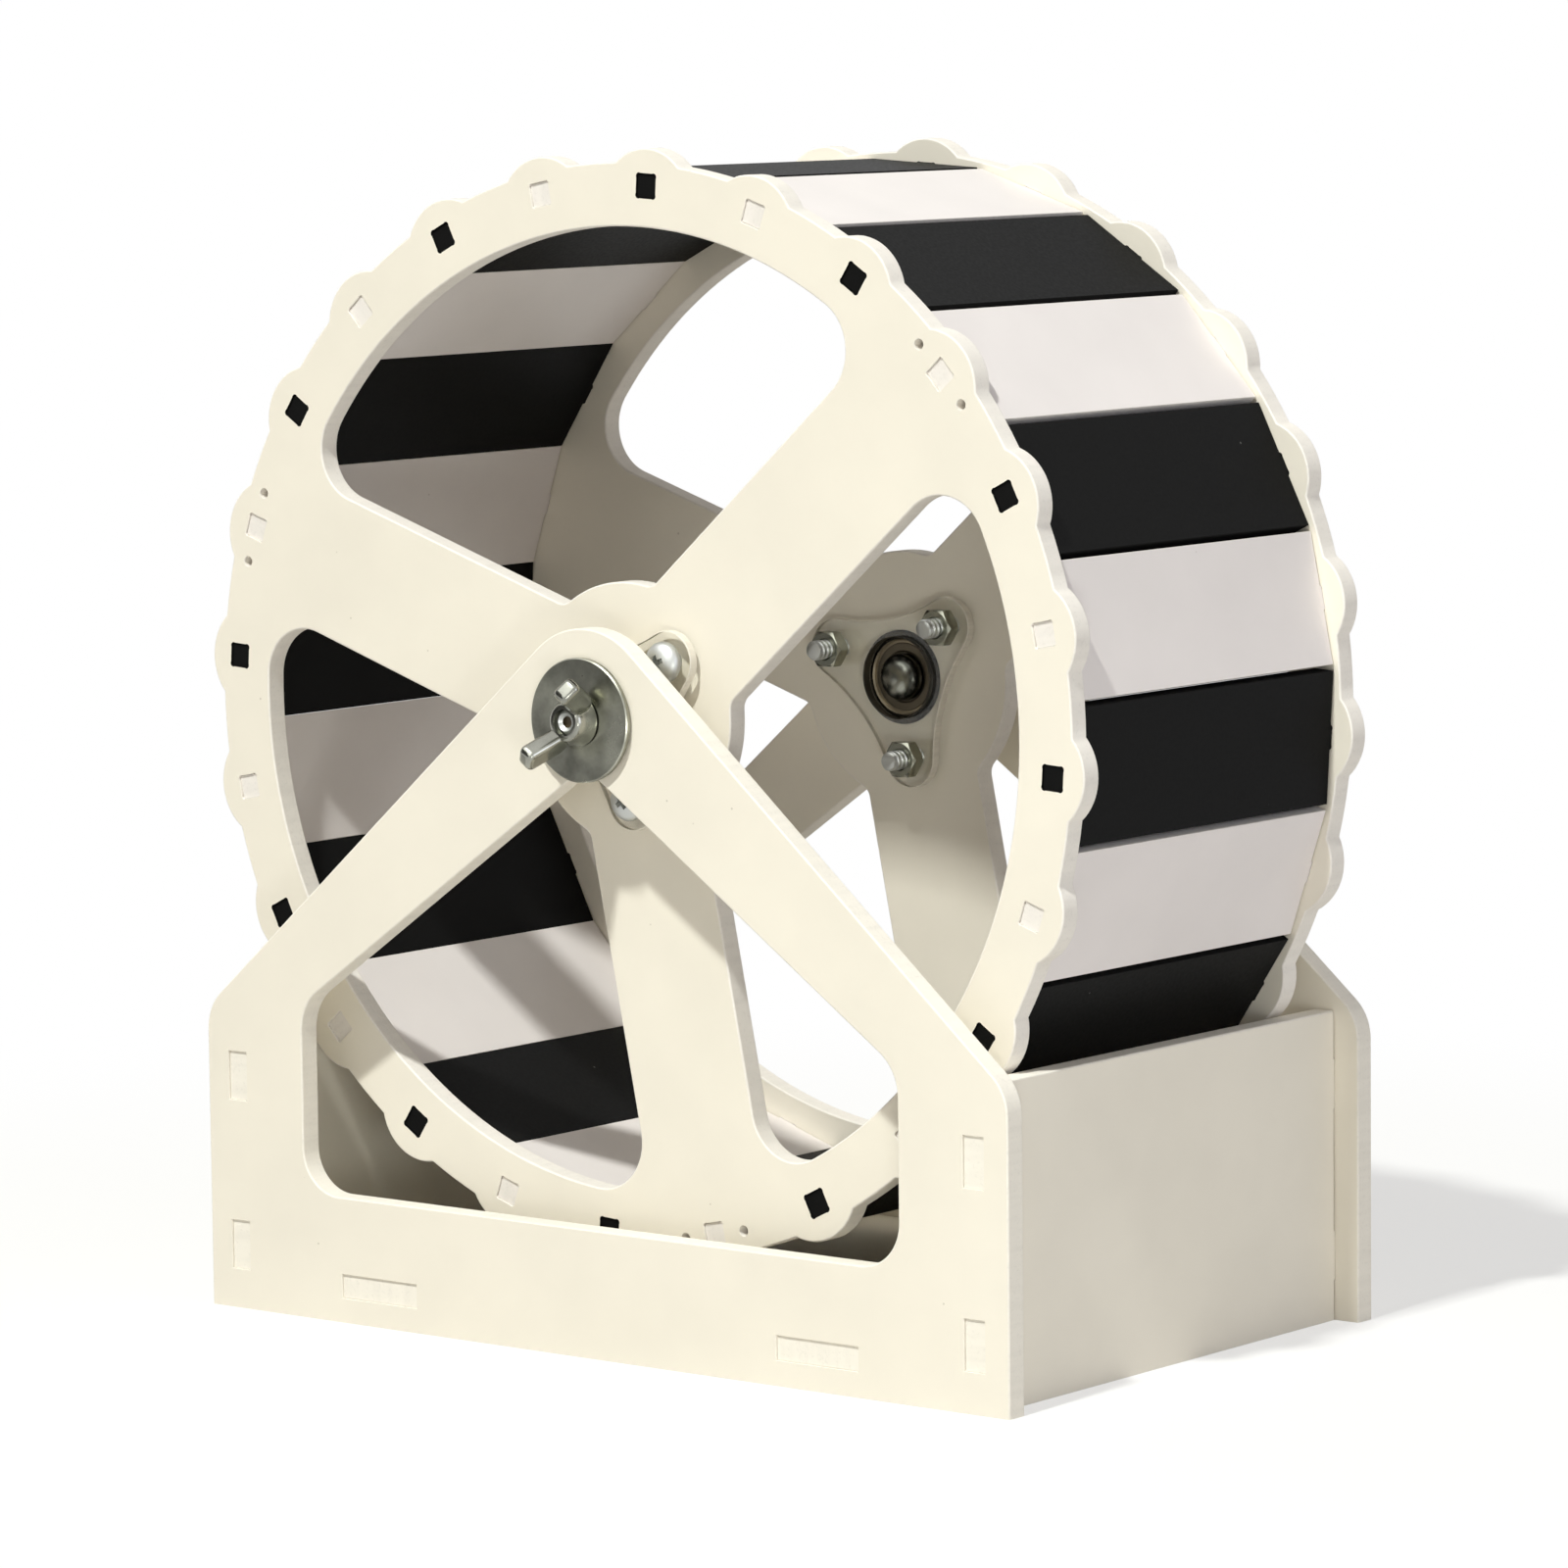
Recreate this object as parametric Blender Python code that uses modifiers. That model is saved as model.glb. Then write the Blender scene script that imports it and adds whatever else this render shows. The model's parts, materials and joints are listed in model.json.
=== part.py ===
"""A hamster wheel: two slotted discs and 24 slats that run on ball bearings in a slot-and-tab frame of foam-PVC board.

Metres, +Z up. The object's front looks along -Y, the wheel turns about an axis along Y, and the origin is on the
ground at the middle of the frame. Angles are seen from the front and run from +X towards +Z.
"""

import math

import bmesh
import bpy
from mathutils import Matrix, Vector

# Boards
FRAME_BOARD = 0.0047  # thickness of the frame's boards
WHEEL_BOARD = 0.0046  # thickness of the discs and slats

# Gaps
SEAT_GAP = 0.0003  # between faces that rest on each other
TAB_GAP = 0.00015  # round a tab in its slot
SHAFT_GAP = 0.0001  # round the axle bolt
HUB_BOLT_GAP = 0.00015  # round a hub bolt in its hole
BEARING_SEAT_GAP = 0.00015  # round the bearing in the disc
TAB_RECESS = 0.0004  # how far a tab's end stays below the face it passes through

# Wheel
SLAT_COUNT = 24
RUNNING_RADIUS = 0.0992  # from the axis to the middle of a slat's inner face
WHEEL_WIDTH = 0.0925  # over the outer faces of the discs
SLAT_TAB_WIDTH = 0.0046
RELIEF_RADIUS = 0.0007  # the round relief at each corner of a slot in a disc
RELIEF_REACH = 0.00025  # how far a relief passes the slot's sides
RIM_LIP = 0.0056  # how far the rim stands in from the running surface
RIM_MARGIN = 0.0020  # how far the rim stands out from the slats
SCALLOP_HEIGHT = 0.00295  # of a scallop's tip over the rim circle
SCALLOP_RADIUS = 0.0110
SPOKE_COUNT = 3
SPOKE_WIDTH = 0.0285
FIRST_SPOKE_ANGLE = math.radians(41.4)
WINDOW_CORNER_RADIUS = 0.0100  # between a spoke and the rim
HUB_FILLET_RADIUS = 0.0030  # between a spoke and the hub
HUB_EDGE_MARGIN = 0.0030  # of the hub's round edge over the hub plate's lobes
PIN_HOLE_RADIUS = 0.00105
PIN_HOLE_OFFSET = 0.0073  # from the middle of the tab at a spoke's end

# Bearing
BEARING_RADIUS = 0.0095
BEARING_BORE_RADIUS = 0.0025
BEARING_WIDTH = 0.0060
BEARING_CHAMFER = 0.0003
OUTER_RING_WALL = 0.0021
INNER_RING_WALL = 0.0021
SHIELD_GAP = 0.0003  # between the shield's inner edge and the inner ring
SHIELD_RECESS = 0.0004

# Hub plates and their bolts
HUB_PLATE_THICKNESS = 0.0020
HUB_PLATE_LIP = 0.00125  # how far a hub plate covers the bearing's outer ring
HUB_PLATE_WAIST = 0.0025  # of the plate beyond the bearing, between two lobes
HUB_BOLT_OFFSET = 0.0070  # from the bearing's outside to a hub bolt's middle
HUB_LOBE_RADIUS = 0.0060
HUB_BOLT_RADIUS = 0.0020
HUB_BOLT_LENGTH = 0.0180  # under the head
HUB_BOLT_CHAMFER = 0.0004
HUB_BOLT_HEAD_RADIUS = 0.0040
HUB_BOLT_HEAD_HEIGHT = 0.0029
HUB_BOLT_HEAD_RIM = 0.0007  # the straight part of the head's side
HUB_NUT_WIDTH = 0.0070  # across its flats
HUB_NUT_HEIGHT = 0.0032

# Axle bolts, spacers, washers and wing nuts
AXLE_HEAD_RADIUS = 0.00475
AXLE_HEAD_HEIGHT = 0.00275
AXLE_HEAD_RIM = 0.0005
AXLE_CHAMFER = 0.0006
AXLE_END_REACH = 0.0039  # of the bolt's end over the washer
SPACER_WALL = 0.0015
SPACER_EDGE = 0.0002  # chamfer round the spacer's ends
WASHER_RADIUS = 0.0120
WASHER_THICKNESS = 0.0013
WASHER_EDGE = 0.0002  # chamfer round the washer's outside
WING_NUT_BASE_RADIUS = 0.0049
WING_NUT_TOP_RADIUS = 0.0038
WING_NUT_BODY_HEIGHT = 0.0042
WING_NUT_FLANGE = 0.0006  # height of the straight part at the base
WING_SPAN = 0.0218
WING_HEIGHT = 0.0110
WING_WIDTH = 0.0048
WING_THICKNESS = 0.0036
WING_LEAN = math.radians(60)  # a wing's rise over the washer
WING_FOOT = 0.0008  # of a wing's lower edge over the base
WING_CORNER_RADIUS = 0.0014
WING_FOOT_RADIUS = 0.0025
WING_EDGE = 0.0008  # rounding along a wing's long edges
WING_NUT_ANGLE = math.radians(53)

# Frame
FLOOR_HEIGHT = 0.0050  # of the floor panel's underside
FLOOR_CLEARANCE = 0.00555  # between the floor panel and the wheel
FRONT_CLEARANCE = 0.0021  # between the front hub bolts' heads and the front panel
REAR_CLEARANCE = 0.0036  # between the rear hub bolts' heads and the rear panel
SIDE_CLEARANCE = 0.0005  # between the wheel and the upper edge of a side panel
SIDE_HEIGHT = 0.0617
SIDE_INSET = 0.0056  # of a side panel from the edge of the front and rear panels
SIDE_TAB_LENGTH = 0.0098
SIDE_TAB_LOW_MARGIN = 0.0080
SIDE_TAB_HIGH_MARGIN = 0.0096
FLOOR_TAB_LENGTH = 0.0195
FLOOR_TAB_SPREAD = 0.1101  # between the middles of the floor panel's two tabs at one end
APEX_RADIUS = 0.0175
SHOULDER_DROP = 0.0010  # of a panel's shoulder from the side panel's upper edge
SHOULDER_RADIUS = 0.0100
POST_WIDTH = 0.0254
RAIL_HEIGHT = 0.0252
SHOULDER_WALL = 0.0150  # between the opening's upper corner and the sloping edge
APEX_WALL = 0.0066  # between the axle hole and the opening
OPENING_APEX_RADIUS = 0.0040
OPENING_SHOULDER_RADIUS = 0.0100
OPENING_FOOT_RADIUS = 0.0090

# Making
CHORD_ERROR = 0.00014  # how far a straight facet may lie inside its arc
CUT_OVERRUN = 0.0010  # how far a cutter passes the face that it cuts
WELD = 0.00001
SHARP_ANGLE = math.radians(35)
EDGE_ANGLE = math.radians(60)  # edges sharper than this get the wing nut's rounding

# Derived sizes of the wheel, as distances from its axis
slat_pitch = 2 * math.pi / SLAT_COUNT
spoke_pitch = 2 * math.pi / SPOKE_COUNT
slat_width = 2 * RUNNING_RADIUS * math.tan(slat_pitch / 2) - SEAT_GAP
slat_middle_radius = RUNNING_RADIUS + WHEEL_BOARD / 2
rim_inner_radius = RUNNING_RADIUS - RIM_LIP
rim_radius = RUNNING_RADIUS + WHEEL_BOARD + RIM_MARGIN
tip_radius = rim_radius + SCALLOP_HEIGHT
hub_bolt_circle = BEARING_RADIUS + HUB_BOLT_OFFSET
hub_radius = hub_bolt_circle + HUB_LOBE_RADIUS + HUB_EDGE_MARGIN
hub_waist_radius = BEARING_RADIUS + HUB_PLATE_WAIST
hub_plate_bore_radius = BEARING_RADIUS - HUB_PLATE_LIP
axle_radius = BEARING_BORE_RADIUS - SHAFT_GAP

# Derived distances outwards along the axis, from a disc's middle plane
hub_plate_seat = max(BEARING_WIDTH, WHEEL_BOARD) / 2 + SEAT_GAP
hub_bolt_seat = hub_plate_seat + HUB_PLATE_THICKNESS + SEAT_GAP
hub_height = hub_bolt_seat + HUB_BOLT_HEAD_HEIGHT

# Derived sizes of the frame
disc_middle_inset = WHEEL_WIDTH / 2 - WHEEL_BOARD / 2
front_inner_reach = disc_middle_inset + hub_height + FRONT_CLEARANCE
rear_inner_reach = disc_middle_inset + hub_height + REAR_CLEARANCE
frame_depth = front_inner_reach + rear_inner_reach + 2 * FRAME_BOARD
wheel_y = (front_inner_reach - rear_inner_reach) / 2
panel_inner_reach = frame_depth / 2 - FRAME_BOARD
floor_top = FLOOR_HEIGHT + FRAME_BOARD
axle_height = floor_top + FLOOR_CLEARANCE + tip_radius
side_drop = axle_height - SIDE_HEIGHT
side_inner_x = math.sqrt((tip_radius + SIDE_CLEARANCE) ** 2 - side_drop**2)
side_middle_x = side_inner_x + FRAME_BOARD / 2
half_width = side_inner_x + FRAME_BOARD + SIDE_INSET
shoulder_height = SIDE_HEIGHT - SHOULDER_DROP
axle_hole_radius = axle_radius + SHAFT_GAP
side_tab_heights = (
    SIDE_TAB_LOW_MARGIN + SIDE_TAB_LENGTH / 2,
    SIDE_HEIGHT - SIDE_TAB_HIGH_MARGIN - SIDE_TAB_LENGTH / 2,
)
floor_tab_places = (-FLOOR_TAB_SPREAD / 2, FLOOR_TAB_SPREAD / 2)

# Derived distances outwards along the axle, from the middle of the frame
washer_seat = frame_depth / 2 + SEAT_GAP
wing_nut_seat = washer_seat + WASHER_THICKNESS + SEAT_GAP
axle_end = washer_seat + WASHER_THICKNESS + AXLE_END_REACH

# How a piece is turned so that its own +Z points out of the front, out of the rear, or to the right
OUT_OF_FRONT = (math.pi / 2, 0, 0)
OUT_OF_REAR = (-math.pi / 2, 0, 0)
TO_THE_RIGHT = (math.pi / 2, 0, math.pi / 2)


# Outlines

def arc_steps(radius, sweep):
    """How many straight facets an arc needs to stay within the chord error."""
    facet = 2 * math.acos(1 - min(CHORD_ERROR / radius, 1))
    return max(1, math.ceil(abs(sweep) / facet))


def steps_around(radius):
    """Facets of a full circle, as a multiple of four."""
    return 4 * math.ceil(arc_steps(radius, 2 * math.pi) / 4)


def polar(radius, angle):
    return (radius * math.cos(angle), radius * math.sin(angle))


def arc(centre, radius, start, end):
    """Points from one end of an arc to the other."""
    steps = arc_steps(radius, end - start)
    angles = [start + (end - start) * step / steps for step in range(steps + 1)]
    return [(centre[0] + radius * math.cos(a), centre[1] + radius * math.sin(a)) for a in angles]


def hole(centre, radius):
    """A round hole whose facets touch the circle from outside, so that a shaft of this radius passes."""
    steps = steps_around(radius)
    reach = radius / math.cos(math.pi / steps)
    turns = [2 * math.pi * step / steps for step in range(steps)]
    return [(centre[0] + reach * math.cos(a), centre[1] + reach * math.sin(a)) for a in turns]


def box_outline(centre, length, height):
    """A rectangle of this length across and height up."""
    x, y = centre
    return [
        (x - length / 2, y - height / 2),
        (x + length / 2, y - height / 2),
        (x + length / 2, y + height / 2),
        (x - length / 2, y + height / 2),
    ]


def rounded(corners):
    """A closed outline through corners (x, y, radius), each with its arc, limited by the edges beside it."""
    points = []
    for index, (x, y, radius) in enumerate(corners):
        corner = Vector((x, y))
        back = Vector(corners[index - 1][:2]) - corner
        ahead = Vector(corners[(index + 1) % len(corners)][:2]) - corner
        half = back.angle(ahead) / 2
        reach = min(radius / math.tan(half), back.length / 2, ahead.length / 2)
        if reach == 0:
            points.append((x, y))
            continue
        bend = reach * math.tan(half)
        centre = corner + (back.normalized() + ahead.normalized()).normalized() * bend / math.sin(half)
        first = corner + back.normalized() * reach - centre
        start = math.atan2(first.y, first.x)
        turn = math.copysign(math.pi - 2 * half, ahead.x * back.y - ahead.y * back.x)
        points += arc(centre, bend, start, start + turn)
    return points


def turned_about(points, angle):
    """Points turned about the origin."""
    cos, sin = math.cos(angle), math.sin(angle)
    return [(x * cos - y * sin, x * sin + y * cos) for x, y in points]


# Outlines of the wheel

def scalloped_rim():
    """The disc's outside: a scallop over every slot, joined by arcs of the rim circle."""
    bump_distance = tip_radius - SCALLOP_RADIUS
    square = rim_radius**2 + bump_distance**2 - SCALLOP_RADIUS**2
    half_angle = math.acos(square / (2 * rim_radius * bump_distance))
    corner_x, corner_y = polar(rim_radius, half_angle)
    half_sweep = math.atan2(corner_y, corner_x - bump_distance)
    bump = arc((bump_distance, 0), SCALLOP_RADIUS, -half_sweep, half_sweep)
    valley = arc((0, 0), rim_radius, half_angle, slat_pitch - half_angle)
    one = bump + valley[1:-1]
    points = []
    for index in range(SLAT_COUNT):
        points += turned_about(one, FIRST_SPOKE_ANGLE + index * slat_pitch)
    return points


def window(spoke_angle):
    """The opening after one spoke: its first half hugs that spoke, and the second mirrors it."""
    half_spoke = SPOKE_WIDTH / 2
    middle = spoke_pitch / 2
    hub_y = half_spoke + HUB_FILLET_RADIUS
    hub_centre = (math.sqrt((hub_radius + HUB_FILLET_RADIUS) ** 2 - hub_y**2), hub_y)
    hub_turn = math.atan2(hub_centre[1], hub_centre[0])
    rim_y = half_spoke + WINDOW_CORNER_RADIUS
    rim_centre = (math.sqrt((rim_inner_radius - WINDOW_CORNER_RADIUS) ** 2 - rim_y**2), rim_y)
    rim_turn = math.atan2(rim_centre[1], rim_centre[0])
    foot = 1.5 * math.pi
    half = arc((0, 0), hub_radius, middle, hub_turn)
    half += arc(hub_centre, HUB_FILLET_RADIUS, math.pi + hub_turn, foot)[1:]
    half += arc(rim_centre, WINDOW_CORNER_RADIUS, foot, 2 * math.pi + rim_turn)
    half += arc((0, 0), rim_inner_radius, rim_turn, middle)[1:]
    first = turned_about(half, -middle)
    second = [(x, -y) for x, y in reversed(first[1:-1])]
    return turned_about(first + second, spoke_angle + middle)


def relieved_slot(angle):
    """A slot in a disc for one tab, with a round relief bulging from each corner."""
    half_radial = WHEEL_BOARD / 2 + TAB_GAP
    half_across = SLAT_TAB_WIDTH / 2 + TAB_GAP
    inset = RELIEF_RADIUS - RELIEF_REACH
    overlap = math.acos(inset / RELIEF_RADIUS)
    points = []
    for quarter, (side_r, side_t) in enumerate(((1, 1), (-1, 1), (-1, -1), (1, -1))):
        centre = (
            slat_middle_radius + side_r * (half_radial - inset),
            side_t * (half_across - inset),
        )
        start = quarter * math.pi / 2
        points += arc(centre, RELIEF_RADIUS, start - overlap, start + math.pi / 2 + overlap)
    return turned_about(points, angle)


def disc_holes():
    """Every opening of a disc: windows, slots, bearing bore, hub bolt holes and pin holes."""
    holes = [hole((0, 0), BEARING_RADIUS + BEARING_SEAT_GAP)]
    for index in range(SLAT_COUNT):
        holes.append(relieved_slot(FIRST_SPOKE_ANGLE + index * slat_pitch))
    for index in range(SPOKE_COUNT):
        angle = FIRST_SPOKE_ANGLE + index * spoke_pitch
        holes.append(window(angle))
        holes.append(hole(polar(hub_bolt_circle, angle), HUB_BOLT_RADIUS + HUB_BOLT_GAP))
        for side in (-1, 1):
            place = [(slat_middle_radius, side * PIN_HOLE_OFFSET)]
            holes.append(hole(turned_about(place, angle)[0], PIN_HOLE_RADIUS))
    return holes


def tabbed_outline(half_length, low, high, tab_reach, tab_places, tab_length):
    """A board with tabs at both ends: it runs along X, from low to high in Y, and the tabs reach out along X."""
    right = [(half_length, low)]
    for place in tab_places:
        right += [
            (half_length, place - tab_length / 2),
            (tab_reach, place - tab_length / 2),
            (tab_reach, place + tab_length / 2),
            (half_length, place + tab_length / 2),
        ]
    right.append((half_length, high))
    return right + [(-x, y) for x, y in reversed(right)]


def hub_plate_outline():
    """Three lobes round the hub bolts, joined by hollow sides that are tangent to them."""
    half_pitch = spoke_pitch / 2
    lobe_x, lobe_y = polar(hub_bolt_circle, half_pitch)
    pull = hub_waist_radius - HUB_LOBE_RADIUS
    hollow_distance = (hub_bolt_circle**2 - pull**2) / (2 * (lobe_x - pull))
    hollow_radius = hollow_distance - hub_waist_radius
    lean = math.atan2(lobe_y, hollow_distance - lobe_x)
    lobe_half_sweep = half_pitch + lean
    lobe = arc((hub_bolt_circle, 0), HUB_LOBE_RADIUS, -lobe_half_sweep, lobe_half_sweep)
    hollow = arc((hollow_distance, 0), hollow_radius, math.pi + lean, math.pi - lean)
    points = []
    for index in range(SPOKE_COUNT):
        angle = FIRST_SPOKE_ANGLE + index * spoke_pitch
        points += turned_about(lobe, angle)
        points += turned_about(hollow[1:-1], angle + half_pitch)
    return points


# Outlines of the frame

def panel_outline():
    """The five-sided end panel: straight posts, sloping edges tangent to the round apex."""
    distance = math.hypot(half_width, axle_height - shoulder_height)
    slope = math.atan2(axle_height - shoulder_height, half_width) + math.asin(APEX_RADIUS / distance)
    apex = arc((0, axle_height), APEX_RADIUS, math.pi / 2 - slope, math.pi / 2 + slope)
    corners = [(-half_width, 0, 0), (half_width, 0, 0), (half_width, shoulder_height, SHOULDER_RADIUS)]
    corners += [(x, y, 0) for x, y in apex]
    corners.append((-half_width, shoulder_height, SHOULDER_RADIUS))
    return rounded(corners), slope


def panel_opening(slope):
    """The five-sided opening, its upper corners a wall's width inside the sloping edges."""
    half_opening = half_width - POST_WIDTH
    edge_height = shoulder_height + POST_WIDTH * math.tan(slope)
    corner_height = edge_height - SHOULDER_WALL / math.cos(slope)
    apex_height = axle_height - axle_hole_radius - APEX_WALL
    return rounded([
        (-half_opening, RAIL_HEIGHT, OPENING_FOOT_RADIUS),
        (half_opening, RAIL_HEIGHT, OPENING_FOOT_RADIUS),
        (half_opening, corner_height, OPENING_SHOULDER_RADIUS),
        (0, apex_height, OPENING_APEX_RADIUS),
        (-half_opening, corner_height, OPENING_SHOULDER_RADIUS),
    ])


def panel_slots():
    """Slots for the tabs of the side panels and of the floor panel."""
    width = FRAME_BOARD + 2 * TAB_GAP
    slots = []
    for x in (-side_middle_x, side_middle_x):
        for z in side_tab_heights:
            slots.append(box_outline((x, z), width, SIDE_TAB_LENGTH + 2 * TAB_GAP))
    for x in floor_tab_places:
        centre = (x, FLOOR_HEIGHT + FRAME_BOARD / 2)
        slots.append(box_outline(centre, FLOOR_TAB_LENGTH + 2 * TAB_GAP, width))
    return slots


# Making meshes and objects

def linear(value):
    """One sRGB channel from 0 to 255 as a linear value."""
    share = value / 255
    return share / 12.92 if share <= 0.04045 else ((share + 0.055) / 1.055) ** 2.4


def make_material(name, colour, roughness, metallic=0.0, transmission=0.0):
    material = bpy.data.materials.new(name)
    material.use_nodes = True
    shader = material.node_tree.nodes["Principled BSDF"]
    shader.inputs["Base Color"].default_value = (*[linear(value) for value in colour], 1.0)
    shader.inputs["Roughness"].default_value = roughness
    shader.inputs["Metallic"].default_value = metallic
    shader.inputs["Transmission Weight"].default_value = transmission
    return material


def finished_mesh(obj):
    """The object as evaluated, made one welded mesh with smooth round faces; the object is removed."""
    bpy.context.scene.collection.objects.link(obj)
    bpy.context.view_layer.update()
    graph = bpy.context.evaluated_depsgraph_get()
    mesh = bpy.data.meshes.new_from_object(obj.evaluated_get(graph))
    mesh.name = obj.name
    work = bmesh.new()
    work.from_mesh(mesh)
    bmesh.ops.remove_doubles(work, verts=work.verts, dist=WELD)
    work.to_mesh(mesh)
    work.free()
    mesh.shade_smooth()
    mesh.set_sharp_from_angle(angle=SHARP_ANGLE)
    bpy.data.objects.remove(obj)
    return mesh


def plate_mesh(name, outline, holes, thickness, material):
    """A flat piece: an outline with holes, extruded about its middle plane."""
    curve = bpy.data.curves.new(name, "CURVE")
    curve.dimensions = "2D"
    curve.fill_mode = "BOTH"
    curve.extrude = thickness / 2
    for loop in (outline, *holes):
        spline = curve.splines.new("POLY")
        spline.points.add(len(loop) - 1)
        for point, (x, y) in zip(spline.points, loop):
            point.co = (x, y, 0, 1)
        spline.use_cyclic_u = True
    curve.materials.append(material)
    return finished_mesh(bpy.data.objects.new(name, curve))


def turned_mesh(name, profile, material, ring=False):
    """A piece turned about its own Z axis, from a profile (radius, z) that runs down its outer side."""
    mesh = bpy.data.meshes.new(name)
    last = len(profile) - 1
    edges = [(index, index + 1) for index in range(last)]
    if ring:
        edges.append((last, 0))
    mesh.from_pydata([(radius, 0, z) for radius, z in profile], edges, [])
    mesh.materials.append(material)
    obj = bpy.data.objects.new(name, mesh)
    screw = obj.modifiers.new("Turn", "SCREW")
    screw.steps = steps_around(max(radius for radius, z in profile))
    screw.render_steps = screw.steps
    screw.use_merge_vertices = True
    screw.merge_threshold = WELD
    return finished_mesh(obj)


def piece(name, mesh, parent, place, turn=(0, 0, 0)):
    """One piece of the object, placed from its parent empty."""
    obj = bpy.data.objects.new(name, mesh)
    parts.objects.link(obj)
    obj.parent = parent
    obj.location = place
    obj.rotation_euler = turn


def empty(name, place):
    """A plain axis that pieces are parented to."""
    obj = bpy.data.objects.new(name, None)
    obj.location = place
    parts.objects.link(obj)
    return obj


# Profiles of the turned pieces

def bolt_profile(head_radius, head_height, head_rim, radius, length, chamfer):
    """A domed head whose seat is at zero, over a shank that ends at minus the length."""
    rise = head_height - head_rim
    dome = arc((0, 0), head_radius, math.pi / 2, 0)
    profile = [(x, head_rim + y * rise / head_radius) for x, y in dome]
    profile[0] = (0, head_height)
    profile += [(head_radius, 0), (radius, 0), (radius, chamfer - length)]
    return profile + [(radius - chamfer, -length), (0, -length)]


def ring_profile(radius, bore, low, high, chamfer):
    """A plain ring from low to high, with its outer edges chamfered."""
    return [
        (radius - chamfer, high),
        (radius, high - chamfer),
        (radius, low + chamfer),
        (radius - chamfer, low),
        (bore, low),
        (bore, high),
    ]


def outer_ring_profile():
    """The bearing's outer ring with its shields, which reach in almost to the inner ring."""
    half = BEARING_WIDTH / 2
    land = BEARING_RADIUS - OUTER_RING_WALL
    shield = BEARING_BORE_RADIUS + INNER_RING_WALL + SHIELD_GAP
    return [
        (BEARING_RADIUS - BEARING_CHAMFER, half),
        (BEARING_RADIUS, half - BEARING_CHAMFER),
        (BEARING_RADIUS, BEARING_CHAMFER - half),
        (BEARING_RADIUS - BEARING_CHAMFER, -half),
        (land, -half),
        (land, SHIELD_RECESS - half),
        (shield, SHIELD_RECESS - half),
        (shield, half - SHIELD_RECESS),
        (land, half - SHIELD_RECESS),
        (land, half),
    ]


# The wing nut

def wing_outline():
    """Both wings as one V that crosses the nut's body, seen square to the wings."""
    tip_x = WING_SPAN / 2
    rise = math.tan(WING_LEAN)
    outer = (tip_x, WING_HEIGHT - WING_WIDTH * math.cos(WING_LEAN))
    inner = (tip_x - WING_WIDTH * math.sin(WING_LEAN), WING_HEIGHT)
    foot = (outer[0] - (outer[1] - WING_FOOT) / rise, WING_FOOT)
    crotch_z = WING_NUT_BODY_HEIGHT - WING_NUT_FLANGE
    crotch = (inner[0] - (inner[1] - crotch_z) / rise, crotch_z)
    right = [
        (*foot, WING_FOOT_RADIUS),
        (*outer, WING_CORNER_RADIUS),
        (*inner, WING_CORNER_RADIUS),
        (*crotch, 0),
    ]
    return rounded(right + [(-x, z, radius) for x, z, radius in reversed(right)])


def cutter(name, mesh):
    """A helper for the wing nut's Booleans, kept out of the object."""
    obj = bpy.data.objects.new(name, mesh)
    cutters.objects.link(obj)
    obj.hide_render = True
    obj.display_type = "WIRE"
    return obj


def wing_nut_mesh(material):
    """A tapered body with two thick wings, and the axle's bore through it."""
    wings = plate_mesh("wing_nut", wing_outline(), [], WING_THICKNESS, material)
    wings.transform(Matrix.Rotation(math.pi / 2, 4, "X"))
    nut = bpy.data.objects.new("wing_nut", wings)
    edge = nut.modifiers.new("Round edges", "BEVEL")
    edge.width = WING_EDGE
    edge.segments = 2
    edge.angle_limit = EDGE_ANGLE
    body_profile = [
        (0, WING_NUT_BODY_HEIGHT),
        (WING_NUT_TOP_RADIUS, WING_NUT_BODY_HEIGHT),
        (WING_NUT_BASE_RADIUS, WING_NUT_FLANGE),
        (WING_NUT_BASE_RADIUS, 0),
        (0, 0),
    ]
    bore_top = WING_NUT_BODY_HEIGHT + CUT_OVERRUN
    bore_profile = [
        (0, bore_top),
        (axle_hole_radius, bore_top),
        (axle_hole_radius, -CUT_OVERRUN),
        (0, -CUT_OVERRUN),
    ]
    body = cutter("wing_nut_body", turned_mesh("wing_nut_body", body_profile, material))
    bore = cutter("wing_nut_bore", turned_mesh("wing_nut_bore", bore_profile, material))
    for name, operation, tool in (("Body", "UNION", body), ("Bore", "DIFFERENCE", bore)):
        boolean = nut.modifiers.new(name, "BOOLEAN")
        boolean.operation = operation
        boolean.solver = "EXACT"
        boolean.object = tool
    return finished_mesh(nut)


# Building the pieces

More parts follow.
